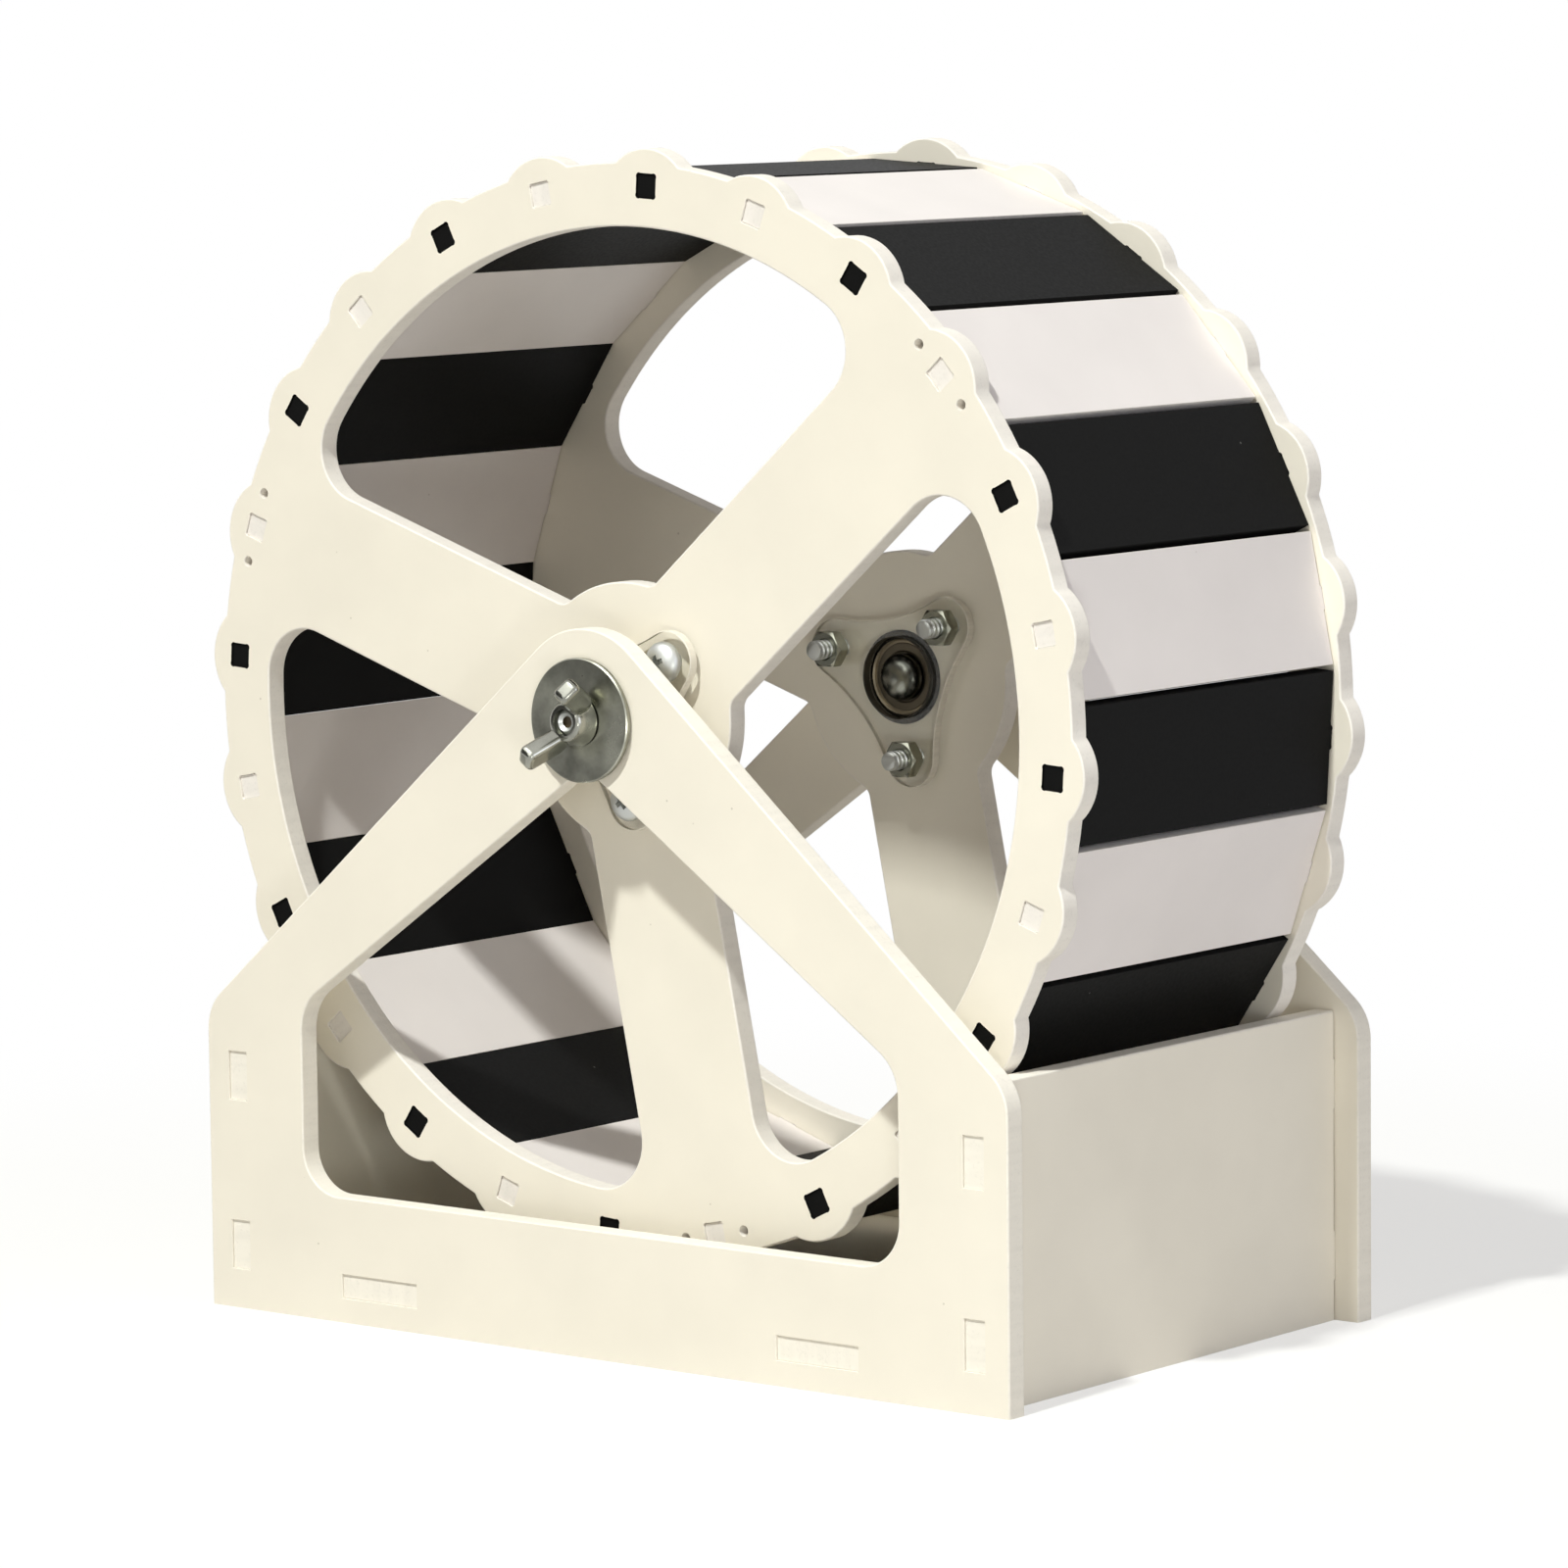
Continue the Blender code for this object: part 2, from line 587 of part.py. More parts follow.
def build_frame():
    """The five boards that slot together."""
    outline, slope = panel_outline()
    holes = [panel_opening(slope), hole((0, axle_height), axle_hole_radius), *panel_slots()]
    panel = plate_mesh("end_panel", outline, holes, FRAME_BOARD, frame_cream)
    panel_middle = frame_depth / 2 - FRAME_BOARD / 2
    piece("front_panel", panel, frame_origin, (0, -panel_middle, 0), OUT_OF_FRONT)
    piece("rear_panel", panel, frame_origin, (0, panel_middle, 0), OUT_OF_FRONT)

    board_end = panel_inner_reach - SEAT_GAP
    tab_end = frame_depth / 2 - TAB_RECESS
    side_outline = tabbed_outline(
        board_end, 0, SIDE_HEIGHT, tab_end, side_tab_heights, SIDE_TAB_LENGTH
    )
    side = plate_mesh("side_panel", side_outline, [], FRAME_BOARD, frame_cream)
    piece("left_side_panel", side, frame_origin, (-side_middle_x, 0, 0), TO_THE_RIGHT)
    piece("right_side_panel", side, frame_origin, (side_middle_x, 0, 0), TO_THE_RIGHT)

    floor_half = side_inner_x - SEAT_GAP
    floor_outline = tabbed_outline(
        board_end, -floor_half, floor_half, tab_end, floor_tab_places, FLOOR_TAB_LENGTH
    )
    floor = plate_mesh("floor_panel", floor_outline, [], FRAME_BOARD, frame_cream)
    floor_middle = FLOOR_HEIGHT + FRAME_BOARD / 2
    piece("floor_panel", floor, frame_origin, (0, 0, floor_middle), (0, 0, math.pi / 2))


def build_discs():
    disc = plate_mesh("disc", scalloped_rim(), disc_holes(), WHEEL_BOARD, wheel_cream)
    piece("front_disc", disc, wheel_axis, (0, -disc_middle_inset, 0), OUT_OF_FRONT)
    piece("rear_disc", disc, wheel_axis, (0, disc_middle_inset, 0), OUT_OF_FRONT)


def build_slats():
    """The running surface: white slats over the spokes' ends and every second slot, black ones between."""
    outline = tabbed_outline(
        WHEEL_WIDTH / 2 - WHEEL_BOARD - SEAT_GAP,
        -slat_width / 2,
        slat_width / 2,
        WHEEL_WIDTH / 2 - TAB_RECESS,
        (0,),
        SLAT_TAB_WIDTH,
    )
    kinds = (("white_slat", slat_white), ("black_slat", slat_black))
    meshes = [plate_mesh(kind, outline, [], WHEEL_BOARD, material) for kind, material in kinds]
    for mesh in meshes:
        mesh.transform(Matrix.Rotation(math.pi / 2, 4, "Z"))
    for index in range(SLAT_COUNT):
        angle = FIRST_SPOKE_ANGLE + index * slat_pitch
        across, up = polar(slat_middle_radius, angle)
        number, kind = divmod(index, len(kinds))
        name = f"{kinds[kind][0]}_{number + 1:02d}"
        piece(name, meshes[kind], wheel_axis, (across, 0, up), (0, math.pi / 2 - angle, 0))


def build_hub(end, outward, turn):
    """One disc's bearing, its hub plates, and the bolts and nuts that clamp them."""
    disc_y = outward * disc_middle_inset
    plate_y = outward * (hub_plate_seat + HUB_PLATE_THICKNESS / 2)
    piece(f"{end}_outer_hub_plate", hub_plate, wheel_axis, (0, disc_y + plate_y, 0), OUT_OF_FRONT)
    piece(f"{end}_inner_hub_plate", hub_plate, wheel_axis, (0, disc_y - plate_y, 0), OUT_OF_FRONT)
    piece(f"{end}_bearing_outer_ring", outer_ring, wheel_axis, (0, disc_y, 0), turn)
    ring_y = wheel_y + disc_y
    piece(f"{end}_bearing_inner_ring", inner_ring, frame_origin, (0, ring_y, axle_height), turn)
    nut_offset = hub_plate_seat + HUB_PLATE_THICKNESS + SEAT_GAP + HUB_NUT_HEIGHT / 2
    for index in range(SPOKE_COUNT):
        across, up = polar(hub_bolt_circle, FIRST_SPOKE_ANGLE + index * spoke_pitch)
        bolt_y = disc_y + outward * hub_bolt_seat
        nut_y = disc_y - outward * nut_offset
        piece(f"{end}_hub_bolt_{index + 1}", hub_bolt, wheel_axis, (across, bolt_y, up), turn)
        piece(f"{end}_hub_nut_{index + 1}", hub_nut, wheel_axis, (across, nut_y, up), turn)


def build_axle(end, outward, turn, turn_back):
    """One axle bolt, from its head inside the wheel out through bearing, spacer, panel, washer and wing nut."""
    disc_reach = outward * wheel_y + disc_middle_inset
    head_seat = disc_reach - BEARING_WIDTH / 2 - SEAT_GAP
    profile = bolt_profile(
        AXLE_HEAD_RADIUS, AXLE_HEAD_HEIGHT, AXLE_HEAD_RIM, axle_radius, axle_end - head_seat, AXLE_CHAMFER
    )
    bolt = turned_mesh(f"{end}_axle_bolt", profile, zinc)
    place = (0, outward * head_seat, axle_height)
    piece(f"{end}_axle_bolt", bolt, frame_origin, place, turn_back)

    spacer_low = disc_reach + BEARING_WIDTH / 2 + SEAT_GAP
    spacer_length = panel_inner_reach - SEAT_GAP - spacer_low
    profile = ring_profile(axle_hole_radius + SPACER_WALL, axle_hole_radius, 0, spacer_length, SPACER_EDGE)
    spacer = turned_mesh(f"{end}_spacer", profile, zinc, ring=True)
    place = (0, outward * spacer_low, axle_height)
    piece(f"{end}_spacer", spacer, frame_origin, place, turn)

    place = (0, outward * washer_seat, axle_height)
    piece(f"{end}_washer", washer, frame_origin, place, turn)
    nut_axis = empty(f"{end}_wing_nut_axis", (0, outward * wing_nut_seat, axle_height))
    piece(f"{end}_wing_nut", wing_nut, nut_axis, (0, 0, 0), (turn[0], -WING_NUT_ANGLE, 0))


for startup_object in list(bpy.data.objects):
    bpy.data.objects.remove(startup_object)
parts = bpy.data.collections.new("hamster_wheel")
cutters = bpy.data.collections.new("cutters")
bpy.context.scene.collection.children.link(parts)
bpy.context.scene.collection.children.link(cutters)

frame_cream = make_material("frame_cream_board", (245, 240, 224), 0.45)
wheel_cream = make_material("wheel_cream_board", (240, 235, 220), 0.45)
slat_white = make_material("white_slat_board", (238, 233, 232), 0.5)
slat_black = make_material("black_slat_board", (20, 21, 21), 0.5)
clear_sheet = make_material("clear_sheet", (245, 247, 245), 0.08, transmission=1.0)
bearing_steel = make_material("bearing_steel", (110, 105, 96), 0.3, metallic=1.0)
zinc = make_material("zinc_plated_steel", (186, 188, 182), 0.3, metallic=1.0)

frame_origin = empty("frame_origin", (0, 0, 0))
wheel_axis = empty("wheel_axis", (0, wheel_y, axle_height))

hub_bolt_holes = [
    hole(polar(hub_bolt_circle, FIRST_SPOKE_ANGLE + index * spoke_pitch), HUB_BOLT_RADIUS + HUB_BOLT_GAP)
    for index in range(SPOKE_COUNT)
]
hub_plate_holes = [hole((0, 0), hub_plate_bore_radius), *hub_bolt_holes]
hub_plate = plate_mesh(
    "hub_plate", hub_plate_outline(), hub_plate_holes, HUB_PLATE_THICKNESS, clear_sheet
)
nut_corner = HUB_NUT_WIDTH / 2 / math.cos(math.pi / 6)
hexagon = [polar(nut_corner, side * math.pi / 3) for side in range(6)]
nut_bore = hole((0, 0), HUB_BOLT_RADIUS + HUB_BOLT_GAP)
hub_nut = plate_mesh("hub_nut", hexagon, [nut_bore], HUB_NUT_HEIGHT, zinc)
hub_bolt_profile = bolt_profile(
    HUB_BOLT_HEAD_RADIUS,
    HUB_BOLT_HEAD_HEIGHT,
    HUB_BOLT_HEAD_RIM,
    HUB_BOLT_RADIUS,
    HUB_BOLT_LENGTH,
    HUB_BOLT_CHAMFER,
)
hub_bolt = turned_mesh("hub_bolt", hub_bolt_profile, zinc)
outer_ring = turned_mesh("bearing_outer_ring", outer_ring_profile(), bearing_steel, ring=True)
half_bearing = BEARING_WIDTH / 2
inner_ring_radius = BEARING_BORE_RADIUS + INNER_RING_WALL
inner_ring_profile = ring_profile(
    inner_ring_radius, BEARING_BORE_RADIUS, -half_bearing, half_bearing, BEARING_CHAMFER
)
inner_ring = turned_mesh("bearing_inner_ring", inner_ring_profile, bearing_steel, ring=True)
washer_profile = ring_profile(WASHER_RADIUS, axle_hole_radius, 0, WASHER_THICKNESS, WASHER_EDGE)
washer = turned_mesh("washer", washer_profile, zinc, ring=True)
wing_nut = wing_nut_mesh(zinc)

build_frame()
build_discs()
build_slats()
for end, outward, turn, turn_back in (
    ("front", -1, OUT_OF_FRONT, OUT_OF_REAR),
    ("rear", 1, OUT_OF_REAR, OUT_OF_FRONT),
):
    build_hub(end, outward, turn)
    build_axle(end, outward, turn, turn_back)
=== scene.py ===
"""The looks of a hamster wheel: routed foam-PVC boards, clear hub plates, bearings and bright zinc hardware.

Every piece is made at the size and place of its solid in the frame, in metres, with +Z up and the front facing -Y.
Angles are seen from the front and run from +X towards +Z.
"""

import json
import math

import bmesh
import bpy
from bpy.props import FloatProperty, FloatVectorProperty, IntProperty, PointerProperty
from mathutils import Matrix, Vector


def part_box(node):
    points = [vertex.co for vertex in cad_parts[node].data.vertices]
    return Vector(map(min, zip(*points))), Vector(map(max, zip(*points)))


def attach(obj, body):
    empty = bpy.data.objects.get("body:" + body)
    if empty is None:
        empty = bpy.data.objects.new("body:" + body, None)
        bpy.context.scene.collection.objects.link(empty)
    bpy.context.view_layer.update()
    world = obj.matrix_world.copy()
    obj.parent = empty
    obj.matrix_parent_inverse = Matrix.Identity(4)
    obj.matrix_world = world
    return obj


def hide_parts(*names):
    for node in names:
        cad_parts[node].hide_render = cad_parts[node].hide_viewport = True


bl_info = {
    "name": "Hamster Wheel",
    "version": (1, 0, 0),
    "blender": (4, 5, 0),
    "location": "View3D > Sidebar > Hamster Wheel",
    "description": "Makes a free-standing hamster wheel of routed boards, and the stage that it stands on",
    "category": "Object",
}

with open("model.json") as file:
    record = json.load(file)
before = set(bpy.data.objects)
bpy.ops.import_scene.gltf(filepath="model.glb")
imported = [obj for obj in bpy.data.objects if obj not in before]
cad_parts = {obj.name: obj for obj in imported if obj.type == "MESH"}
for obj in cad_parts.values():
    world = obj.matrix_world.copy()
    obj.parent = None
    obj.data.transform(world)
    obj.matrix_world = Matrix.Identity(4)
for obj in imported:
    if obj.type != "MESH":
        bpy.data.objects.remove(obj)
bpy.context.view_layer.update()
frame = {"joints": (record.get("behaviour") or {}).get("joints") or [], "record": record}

# What every making step shares
CHORD_ERROR = 0.000012  # how far a facet may lie inside its arc
MERGE = 0.000002  # points nearer to each other than this are one
NEAR = 0.0002  # how near a point has to lie to count as on a form
FLAT_SHARE = 0.99  # a face is a board's own flat surface where its normal has this share of the thickness direction
WALL_SHARE = 0.1  # and a cut wall where it has less than this
CREASE = math.radians(40)  # an edge that turns by more than this stays sharp
RING_CREASE = math.radians(25)  # the same on rings and nuts, whose shallow chamfers have to show
CAST_CREASE = math.radians(50)  # the same on threads and castings, whose roundings have to run on
FRONT, REAR = "front", "rear"
PIECE_SHIFT = 0.37  # how far apart two pieces read the same pattern, so that no two look alike

# Steps round the turned pieces
RING_STEPS, WASHER_STEPS, WING_NUT_STEPS, HOLLOW_STEPS = 96, 128, 72, 48
HUB_HEAD_STEPS, AXLE_HEAD_STEPS = 64, 80
HUB_THREAD_STEPS, AXLE_THREAD_STEPS = 40, 48
OPEN_SEGMENTS, SLOT_SEGMENTS = 3, 1  # across the rounding of a board's open edges, and of its slots' edges

# Shares and reaches of small forms
THREAD_DEPTH = 0.32  # of the pitch
CREST_START, CREST_END = 0.25, 0.75  # of a thread's tooth, in shares of the pitch
NUT_FACE = 0.96  # radius of a nut's round face, in shares of half its width
NUT_BORE = 1.02  # in shares of the bolt's radius
NUT_LEAD = 0.12  # chamfer of a nut's bore, in shares of the bore
RECESS_TAPER = (0.25, 0.7, 1)  # how much smaller a cross recess is at its bottom, along and across a bar
FIRST_RECESS, RECESS_TURN = 0.4, 0.9  # how the recesses are turned, in radians, from one bolt to the next
CROWN = ((0.0009, 0), (0.0004, 0.0001), (0.0001, 0.0004), (0, 0.0009))  # rounding of a wing nut's top, in metres
SHANK_SUNK = 0.0002  # how far a shank runs up into its head
DARK_RIM_RADIUS = 0.0029  # outside this radius an axle bolt's head is painted dark, a painted reflection of the wheel's dark inside, in metres
HUB_MARGIN = 0.004  # the hub's holes lie this far inside its outline, and the axle hole this near the axle
SLOT_SPAN = 1.3  # how far out from the slats' inner faces a disc's slot is looked for, in shares of the board


def extent(node):
    """A node's size along X, Y and Z."""
    low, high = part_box(node)
    return high - low


def middle(node):
    """The centre of a node's box."""
    low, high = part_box(node)
    return (low + high) / 2


# Sizes that the frame gives
WHEEL_JOINT = next(joint for joint in frame["joints"] if joint["name"] == "wheel_spin")
AXLE_HEIGHT = WHEEL_JOINT["pos_m"][2]
WHEEL_Y = WHEEL_JOINT["pos_m"][1]
BODY_OF = {node: body for body, nodes in frame["record"]["behaviour"]["bodies"].items() for node in nodes}


def length(name, description, default):
    """A length that a user would change, in metres."""
    return FloatProperty(
        name=name, description=description, default=default, min=0, precision=5, unit="LENGTH", subtype="DISTANCE"
    )


def turn(name, description, degrees):
    """An angle that a user would change, kept in radians."""
    return FloatProperty(
        name=name, description=description, default=math.radians(degrees), unit="ROTATION", subtype="ANGLE"
    )


def number(name, description, default):
    """A plain number that a user would change."""
    return FloatProperty(name=name, description=description, default=default)


def linear(hex_colour):
    """An sRGB hex colour as three linear values."""
    shares = [int(hex_colour[start:start + 2], 16) / 255 for start in (1, 3, 5)]
    return [s / 12.92 if s <= 0.04045 else ((s + 0.055) / 1.055) ** 2.4 for s in shares]


def colour(name, description, hex_colour):
    """A colour that a user would change."""
    return FloatVectorProperty(
        name=name, description=description, default=linear(hex_colour), subtype="COLOR", size=3, min=0, max=1
    )


class WheelSizes(bpy.types.PropertyGroup):
    """Sizes of the discs and slats."""

    slat_count: IntProperty(name="Slats", description="Slats round the wheel", default=24, min=6)
    spoke_count: IntProperty(name="Spokes", description="Spokes of each disc", default=3, min=2)
    board: length("Board", "Thickness of the discs and slats", extent("front_disc").y)
    running_radius: length("Running radius", "From the axis to the middle of a slat's inner face", 0.0992)
    tip_radius: length("Tip radius", "Over the tips of the scallops", 0.1087)
    rim_margin: length("Rim margin", "How far the rim stands out from the slats", 0.0020)
    rim_lip: length("Rim lip", "How far the rim stands in from the slats", 0.0056)
    scallop_radius: length("Scallop radius", "Radius of one scallop", 0.0110)
    spoke_width: length("Spoke width", "Width of a spoke", 0.0285)
    first_spoke: turn("First spoke", "Where the first spoke points", 41.4)
    window_corner: length("Window corner", "Rounding between a spoke and the rim", 0.0100)
    hub_fillet: length("Hub fillet", "Rounding between a spoke and the hub", 0.0030)
    hub_radius: length("Hub radius", "Of the round hub between the spokes", 0.0255)
    tab_width: length("Tab width", "Across a slat's tab", 0.0046)
    tab_gap: length("Tab gap", "Round a tab in its slot", 0.00006)
    seat_gap: length("Seat gap", "Between faces that rest on each other", 0.0003)
    slat_joint: length("Slat joint", "Between two slats at the running surface", 0.00003)
    relief_radius: length("Relief radius", "Of the round relief at each corner of a slot", 0.00064)
    relief_reach: length("Relief reach", "How far a relief passes the slot's sides", 0.00008)
    pin_radius: length("Pin hole radius", "Of the small holes beside the tabs on the spokes", 0.00105)
    pin_offset: length("Pin hole offset", "From the middle of the tab to a pin hole", 0.0073)


class FrameSizes(bpy.types.PropertyGroup):
    """Sizes of the five boards that hold the wheel."""

    board: length("Board", "Thickness of the frame's boards", extent("front_panel").y)
    half_width: length("Half width", "Of the front and rear panels", extent("front_panel").x / 2)
    shoulder: length("Shoulder height", "Of the panels' shoulders", 0.0607)
    shoulder_radius: length("Shoulder radius", "Rounding of the shoulders", 0.0100)
    apex_radius: length("Apex radius", "Round the axle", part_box("front_panel")[1].z - AXLE_HEIGHT)
    post_width: length("Post width", "Beside the opening", 0.0254)
    rail_height: length("Rail height", "Below the opening", 0.0252)
    shoulder_wall: length("Shoulder wall", "Between the opening and the sloping edge", 0.0150)
    apex_wall: length("Apex wall", "Between the axle hole and the opening", 0.0066)
    opening_apex: length("Opening apex radius", "Rounding of the opening's upper corner", 0.0040)
    opening_shoulder: length("Opening shoulder radius", "Rounding of the opening's side corners", 0.0100)
    opening_foot: length("Opening foot radius", "Rounding of the opening's lower corners", 0.0090)
    side_tab: length("Side tab", "Height of a side panel's tab", 0.0098)
    side_tab_low: length("Low margin", "Below a side panel's lower tab", 0.0080)
    side_tab_high: length("High margin", "Above a side panel's upper tab", 0.0096)
    floor_tab: length("Floor tab", "Length of the floor panel's tab", 0.0195)
    floor_tab_spread: length("Floor tab spread", "Between the middles of the floor panel's tabs", 0.1101)


class HardwareSizes(bpy.types.PropertyGroup):
    """Sizes of the bearings, plates, bolts and nuts."""

    bearing_radius: length("Bearing radius", "Outside of a bearing", extent("front_bearing_outer_ring").x / 2)
    bearing_bore: length("Bearing bore", "Radius of a bearing's bore", 0.0025)
    ring_wall: length("Ring wall", "Of a bearing's rings", 0.0021)
    ring_chamfer: length("Ring chamfer", "On the corners of a bearing's rings", 0.0003)
    shield_gap: length("Shield gap", "Between the shield and the inner ring", 0.0003)
    shield_recess: length("Shield recess", "How far the shield lies below the rings' faces", 0.0004)
    plate_thickness: length("Hub plate", "Thickness of a clear plate", extent("front_outer_hub_plate").y)
    plate_lip: length("Hub plate lip", "How far a plate covers the bearing", 0.00125)
    plate_waist: length("Hub plate waist", "Of a plate between two lobes, beyond the bearing", 0.0025)
    bolt_circle: length("Bolt circle", "Radius on which the hub bolts stand", 0.0165)
    lobe_radius: length("Lobe radius", "Of a plate round a hub bolt", 0.0060)
    hub_bolt: length("Hub bolt", "Radius of a hub bolt's thread", 0.0020)
    hub_pitch: length("Hub bolt pitch", "Of a hub bolt's thread, drawn coarser than real", 0.0013)
    hub_head: length("Hub bolt head", "Radius of the head", 0.0040)
    hub_head_rise: length("Hub bolt head height", "Of the head", 0.0029)
    hub_head_rim: length("Hub bolt head rim", "Height of the head's rim below its dome", 0.0007)
    hub_chamfer: length("Hub bolt chamfer", "At the end of the thread", 0.0003)
    recess_width: length("Recess width", "Across a bar of the cross recess", 0.0012)
    recess_reach: length("Recess reach", "From the middle of the cross recess to a bar's end", 0.0026)
    recess_depth: length("Recess depth", "Of the cross recess below the top of the head", 0.0019)
    nut_width: length("Nut width", "Across the flats of a hub nut", 0.0070)
    axle: length("Axle bolt", "Radius of the axle bolt's thread", 0.0024)
    axle_pitch: length("Axle pitch", "Of the axle bolt's thread, drawn coarser than real", 0.0013)
    axle_head: length("Axle bolt head", "Radius of the head", extent("rear_axle_bolt").x / 2)
    axle_head_rise: length("Axle bolt head height", "Of the head", 0.00275)
    axle_head_rim: length("Axle bolt head rim", "Height of the head's rim below its dome", 0.0005)
    axle_chamfer: length("Axle bolt chamfer", "At the end of the thread", 0.0006)
    hollow_radius: length("Hollow radius", "Of the hollow in the axle bolt's end", 0.0011)
    hollow_mouth: length("Hollow mouth", "Radius of the hollow's flared mouth", 0.0017)
    hollow_depth: length("Hollow depth", "Of the hollow in the axle bolt's end", 0.0013)
    washer_chamfer: length("Washer chamfer", "On the corners of spacers and washers", 0.00025)
    wing_span: length("Wing span", "Over both wings of a wing nut", 0.0218)
    wing_height: length("Wing height", "Of the wings' tips", 0.01094)
    wing_width: length("Wing width", "Across one wing", 0.0048)
    wing_thickness: length("Wing thickness", "Of a wing", 0.0036)
    wing_rounding: length("Wing rounding", "Of a wing's edges", 0.0010)
    wing_corner: length("Wing corner", "Rounding of a wing's tip", 0.0014)
    wing_foot: length("Wing foot", "Height of a wing's lower edge at the body", 0.0008)
    wing_foot_corner: length("Wing foot corner", "Rounding below a wing", 0.0025)
    wing_lean: turn("Wing lean", "Rise of a wing over the washer", 60)
    wing_angle: turn("Wing nut angle", "How far the nut is turned", 53)
    nut_base: length("Wing nut base", "Radius of the body at the washer", 0.0049)
    nut_top: length("Wing nut top", "Radius of the body at its top", 0.0038)
    nut_body: length("Wing nut body", "Height of the body", 0.0042)
    nut_foot: length("Wing nut foot", "Height of the body's straight foot", 0.0006)


class Finishes(bpy.types.PropertyGroup):
    """Roundings of the boards' and plates' edges, and colours of the finishes."""

    edge_rounding: length("Edge rounding", "Of a routed board's open edges", 0.00032)
    plate_rounding: length("Plate rounding", "Of a clear plate's edges", 0.00020)
    slot_rounding: length("Slot rounding", "Of the edges of slots and tabs", 0.00006)
    tab_rounding: length("Tab rounding", "Of the edges of a slat's tabs", 0.00030)
    slat_rounding: length("Slat rounding", "Of a slat's sawn edges", 0.00010)
    frame_sheet: colour("Frame sheet", "Skin of the frame's boards", "#F7F1E3")
    frame_cut: colour("Frame cut", "Routed edges of the frame's boards", "#F9F4E9")
    disc_sheet: colour("Disc sheet", "Skin of the discs", "#F6F0E2")
    disc_cut: colour("Disc cut", "Routed edges of the discs", "#F7F2EA")
    white_sheet: colour("White sheet", "Skin of the white slats", "#F0EAE8")
    white_cut: colour("White cut", "Sawn edges of the white slats", "#F1ECE6")
    black_sheet: colour("Black sheet", "Skin of the black slats", "#131313")
    black_cut: colour("Black cut", "Sawn edges of the black slats", "#131313")
    zinc: colour("Zinc", "Bright zinc plating", "#D0D0C4")
    zinc_shade: colour("Zinc shade", "Zinc plating where it is dull", "#A6A799")
    # Far darker than bare steel: partly painted shade round the bearing
    ring_steel: colour("Ring steel", "Ground bearing rings", "#3C382F")
    shield_steel: colour("Shield steel", "Pressed bearing shields", "#6E6657")
    washer_steel: colour("Washer steel", "Yellowish zinc of the wide washers", "#CDCDBE")
    axle_steel: colour("Axle steel", "The axle bolts' heads", "#85867D")
    clear: colour("Clear plate", "Tint of the clear plates", "#FCFCFA")


class StageSizes(bpy.types.PropertyGroup):
    """The floor, the lamps and the camera."""

    azimuth: turn("Azimuth", "Of the camera, to the right of the front", 38.51)
    elevation: turn("Elevation", "Of the camera over the horizon", 6.40)
    roll: turn("Roll", "Of the camera", -0.65)
    distance: length("Distance", "From the camera to its aim", 1.360)
    aim_height: length("Aim height", "Of the point that the camera looks at", 0.1063)
    aim_x: FloatProperty(name="Aim to the right", description="Of the camera", default=0.0023, unit="LENGTH")
    aim_y: FloatProperty(name="Aim to the back", description="Of the camera", default=-0.0017, unit="LENGTH")
    lens: number("Lens", "Focal length in millimetres", 158.0)
    floor_size: length("Floor", "Side of the floor", 400.0)
    fade_least: number("Least fade", "How far the floor is faded under the object", 0.55)
    fade_start: length("Fade start", "Where the floor starts to fade into the background", 0.17)
    fade_end: length("Fade end", "Where the floor is as white as the background", 0.42)
    ambient: number("Ambient", "Brightness of the studio's walls", 0.295)
    ambient_tint: colour("Ambient tint", "Of the light from the studio's walls", "#FFF9F0")
    key: number("Key", "Light from the main lamp on a white surface that faces it", 0.90)
    key_azimuth: turn("Key azimuth", "Of the main lamp, to the right of the front", 5.5)
    key_elevation: turn("Key elevation", "Of the main lamp over the horizon", 56.2)
    key_size: length("Key size", "Side of the main lamp, 3.2 m away", 0.16)
    fill: number("Fill", "Light from the low lamp at the right", 0.10)
    side: number("Side", "Light from the wide lamp at the right", 0.145)
    back: number("Back", "Light from the wide lamp behind the object, which metal and gloss don't show", 0.20)
    gleam: number("Gleam", "Light from the wide lamp that only metal and gloss show", 0.70)


def sizes(group):
    """One of the groups of sizes on the scene."""
    return getattr(bpy.context.scene, "hamster_" + group)


# Drawing flat outlines

def facets(radius, sweep):
    """How many straight facets an arc needs."""
    return max(2, math.ceil(abs(sweep) / (2 * math.acos(1 - min(CHORD_ERROR / radius, 1)))))


def polar(radius, angle):
    """The point at a radius and an angle round the origin."""
    return Vector((radius * math.cos(angle), radius * math.sin(angle)))


class Pen:
    """Draws a chain of edges in a flat bmesh, one straight line or one swing about a centre at a time."""

    def __init__(self, bm):
        self.bm = bm
        self.first = self.vert = None

    def line(self, x, y):
        """Starts the chain at a point, or draws a straight line on to it."""
        if self.vert is None:
            self.first = self.vert = self.bm.verts.new()
        else:
            self.vert = bmesh.ops.extrude_vert_indiv(self.bm, verts=[self.vert])["verts"][0]
        self.vert.co = (x, y, 0)

    def swing(self, x, y, angle):
        """Draws an arc on, about a centre."""
        centre = Vector((x, y, 0))
        steps = facets((self.vert.co - centre).length, angle)
        made = bmesh.ops.spin(
            self.bm, geom=[self.vert], cent=centre, axis=(0, 0, 1), angle=angle, steps=steps, use_duplicate=False
        )
        self.vert = made["geom_last"][0]

    def close(self):
        """Draws the last straight line, back to the start."""
        self.bm.edges.new((self.vert, self.first))


def mesh_from(bm, name):
    """Turns a bmesh into a mesh, and frees it."""
    mesh = bpy.data.meshes.new(name)
    bm.to_mesh(mesh)
    bm.free()
    return mesh


def new_object(name, data):
    """Puts data in the scene as a new object, at the origin until it is moved."""
    obj = bpy.data.objects.new(name, data)
    bpy.context.scene.collection.objects.link(obj)
    return obj


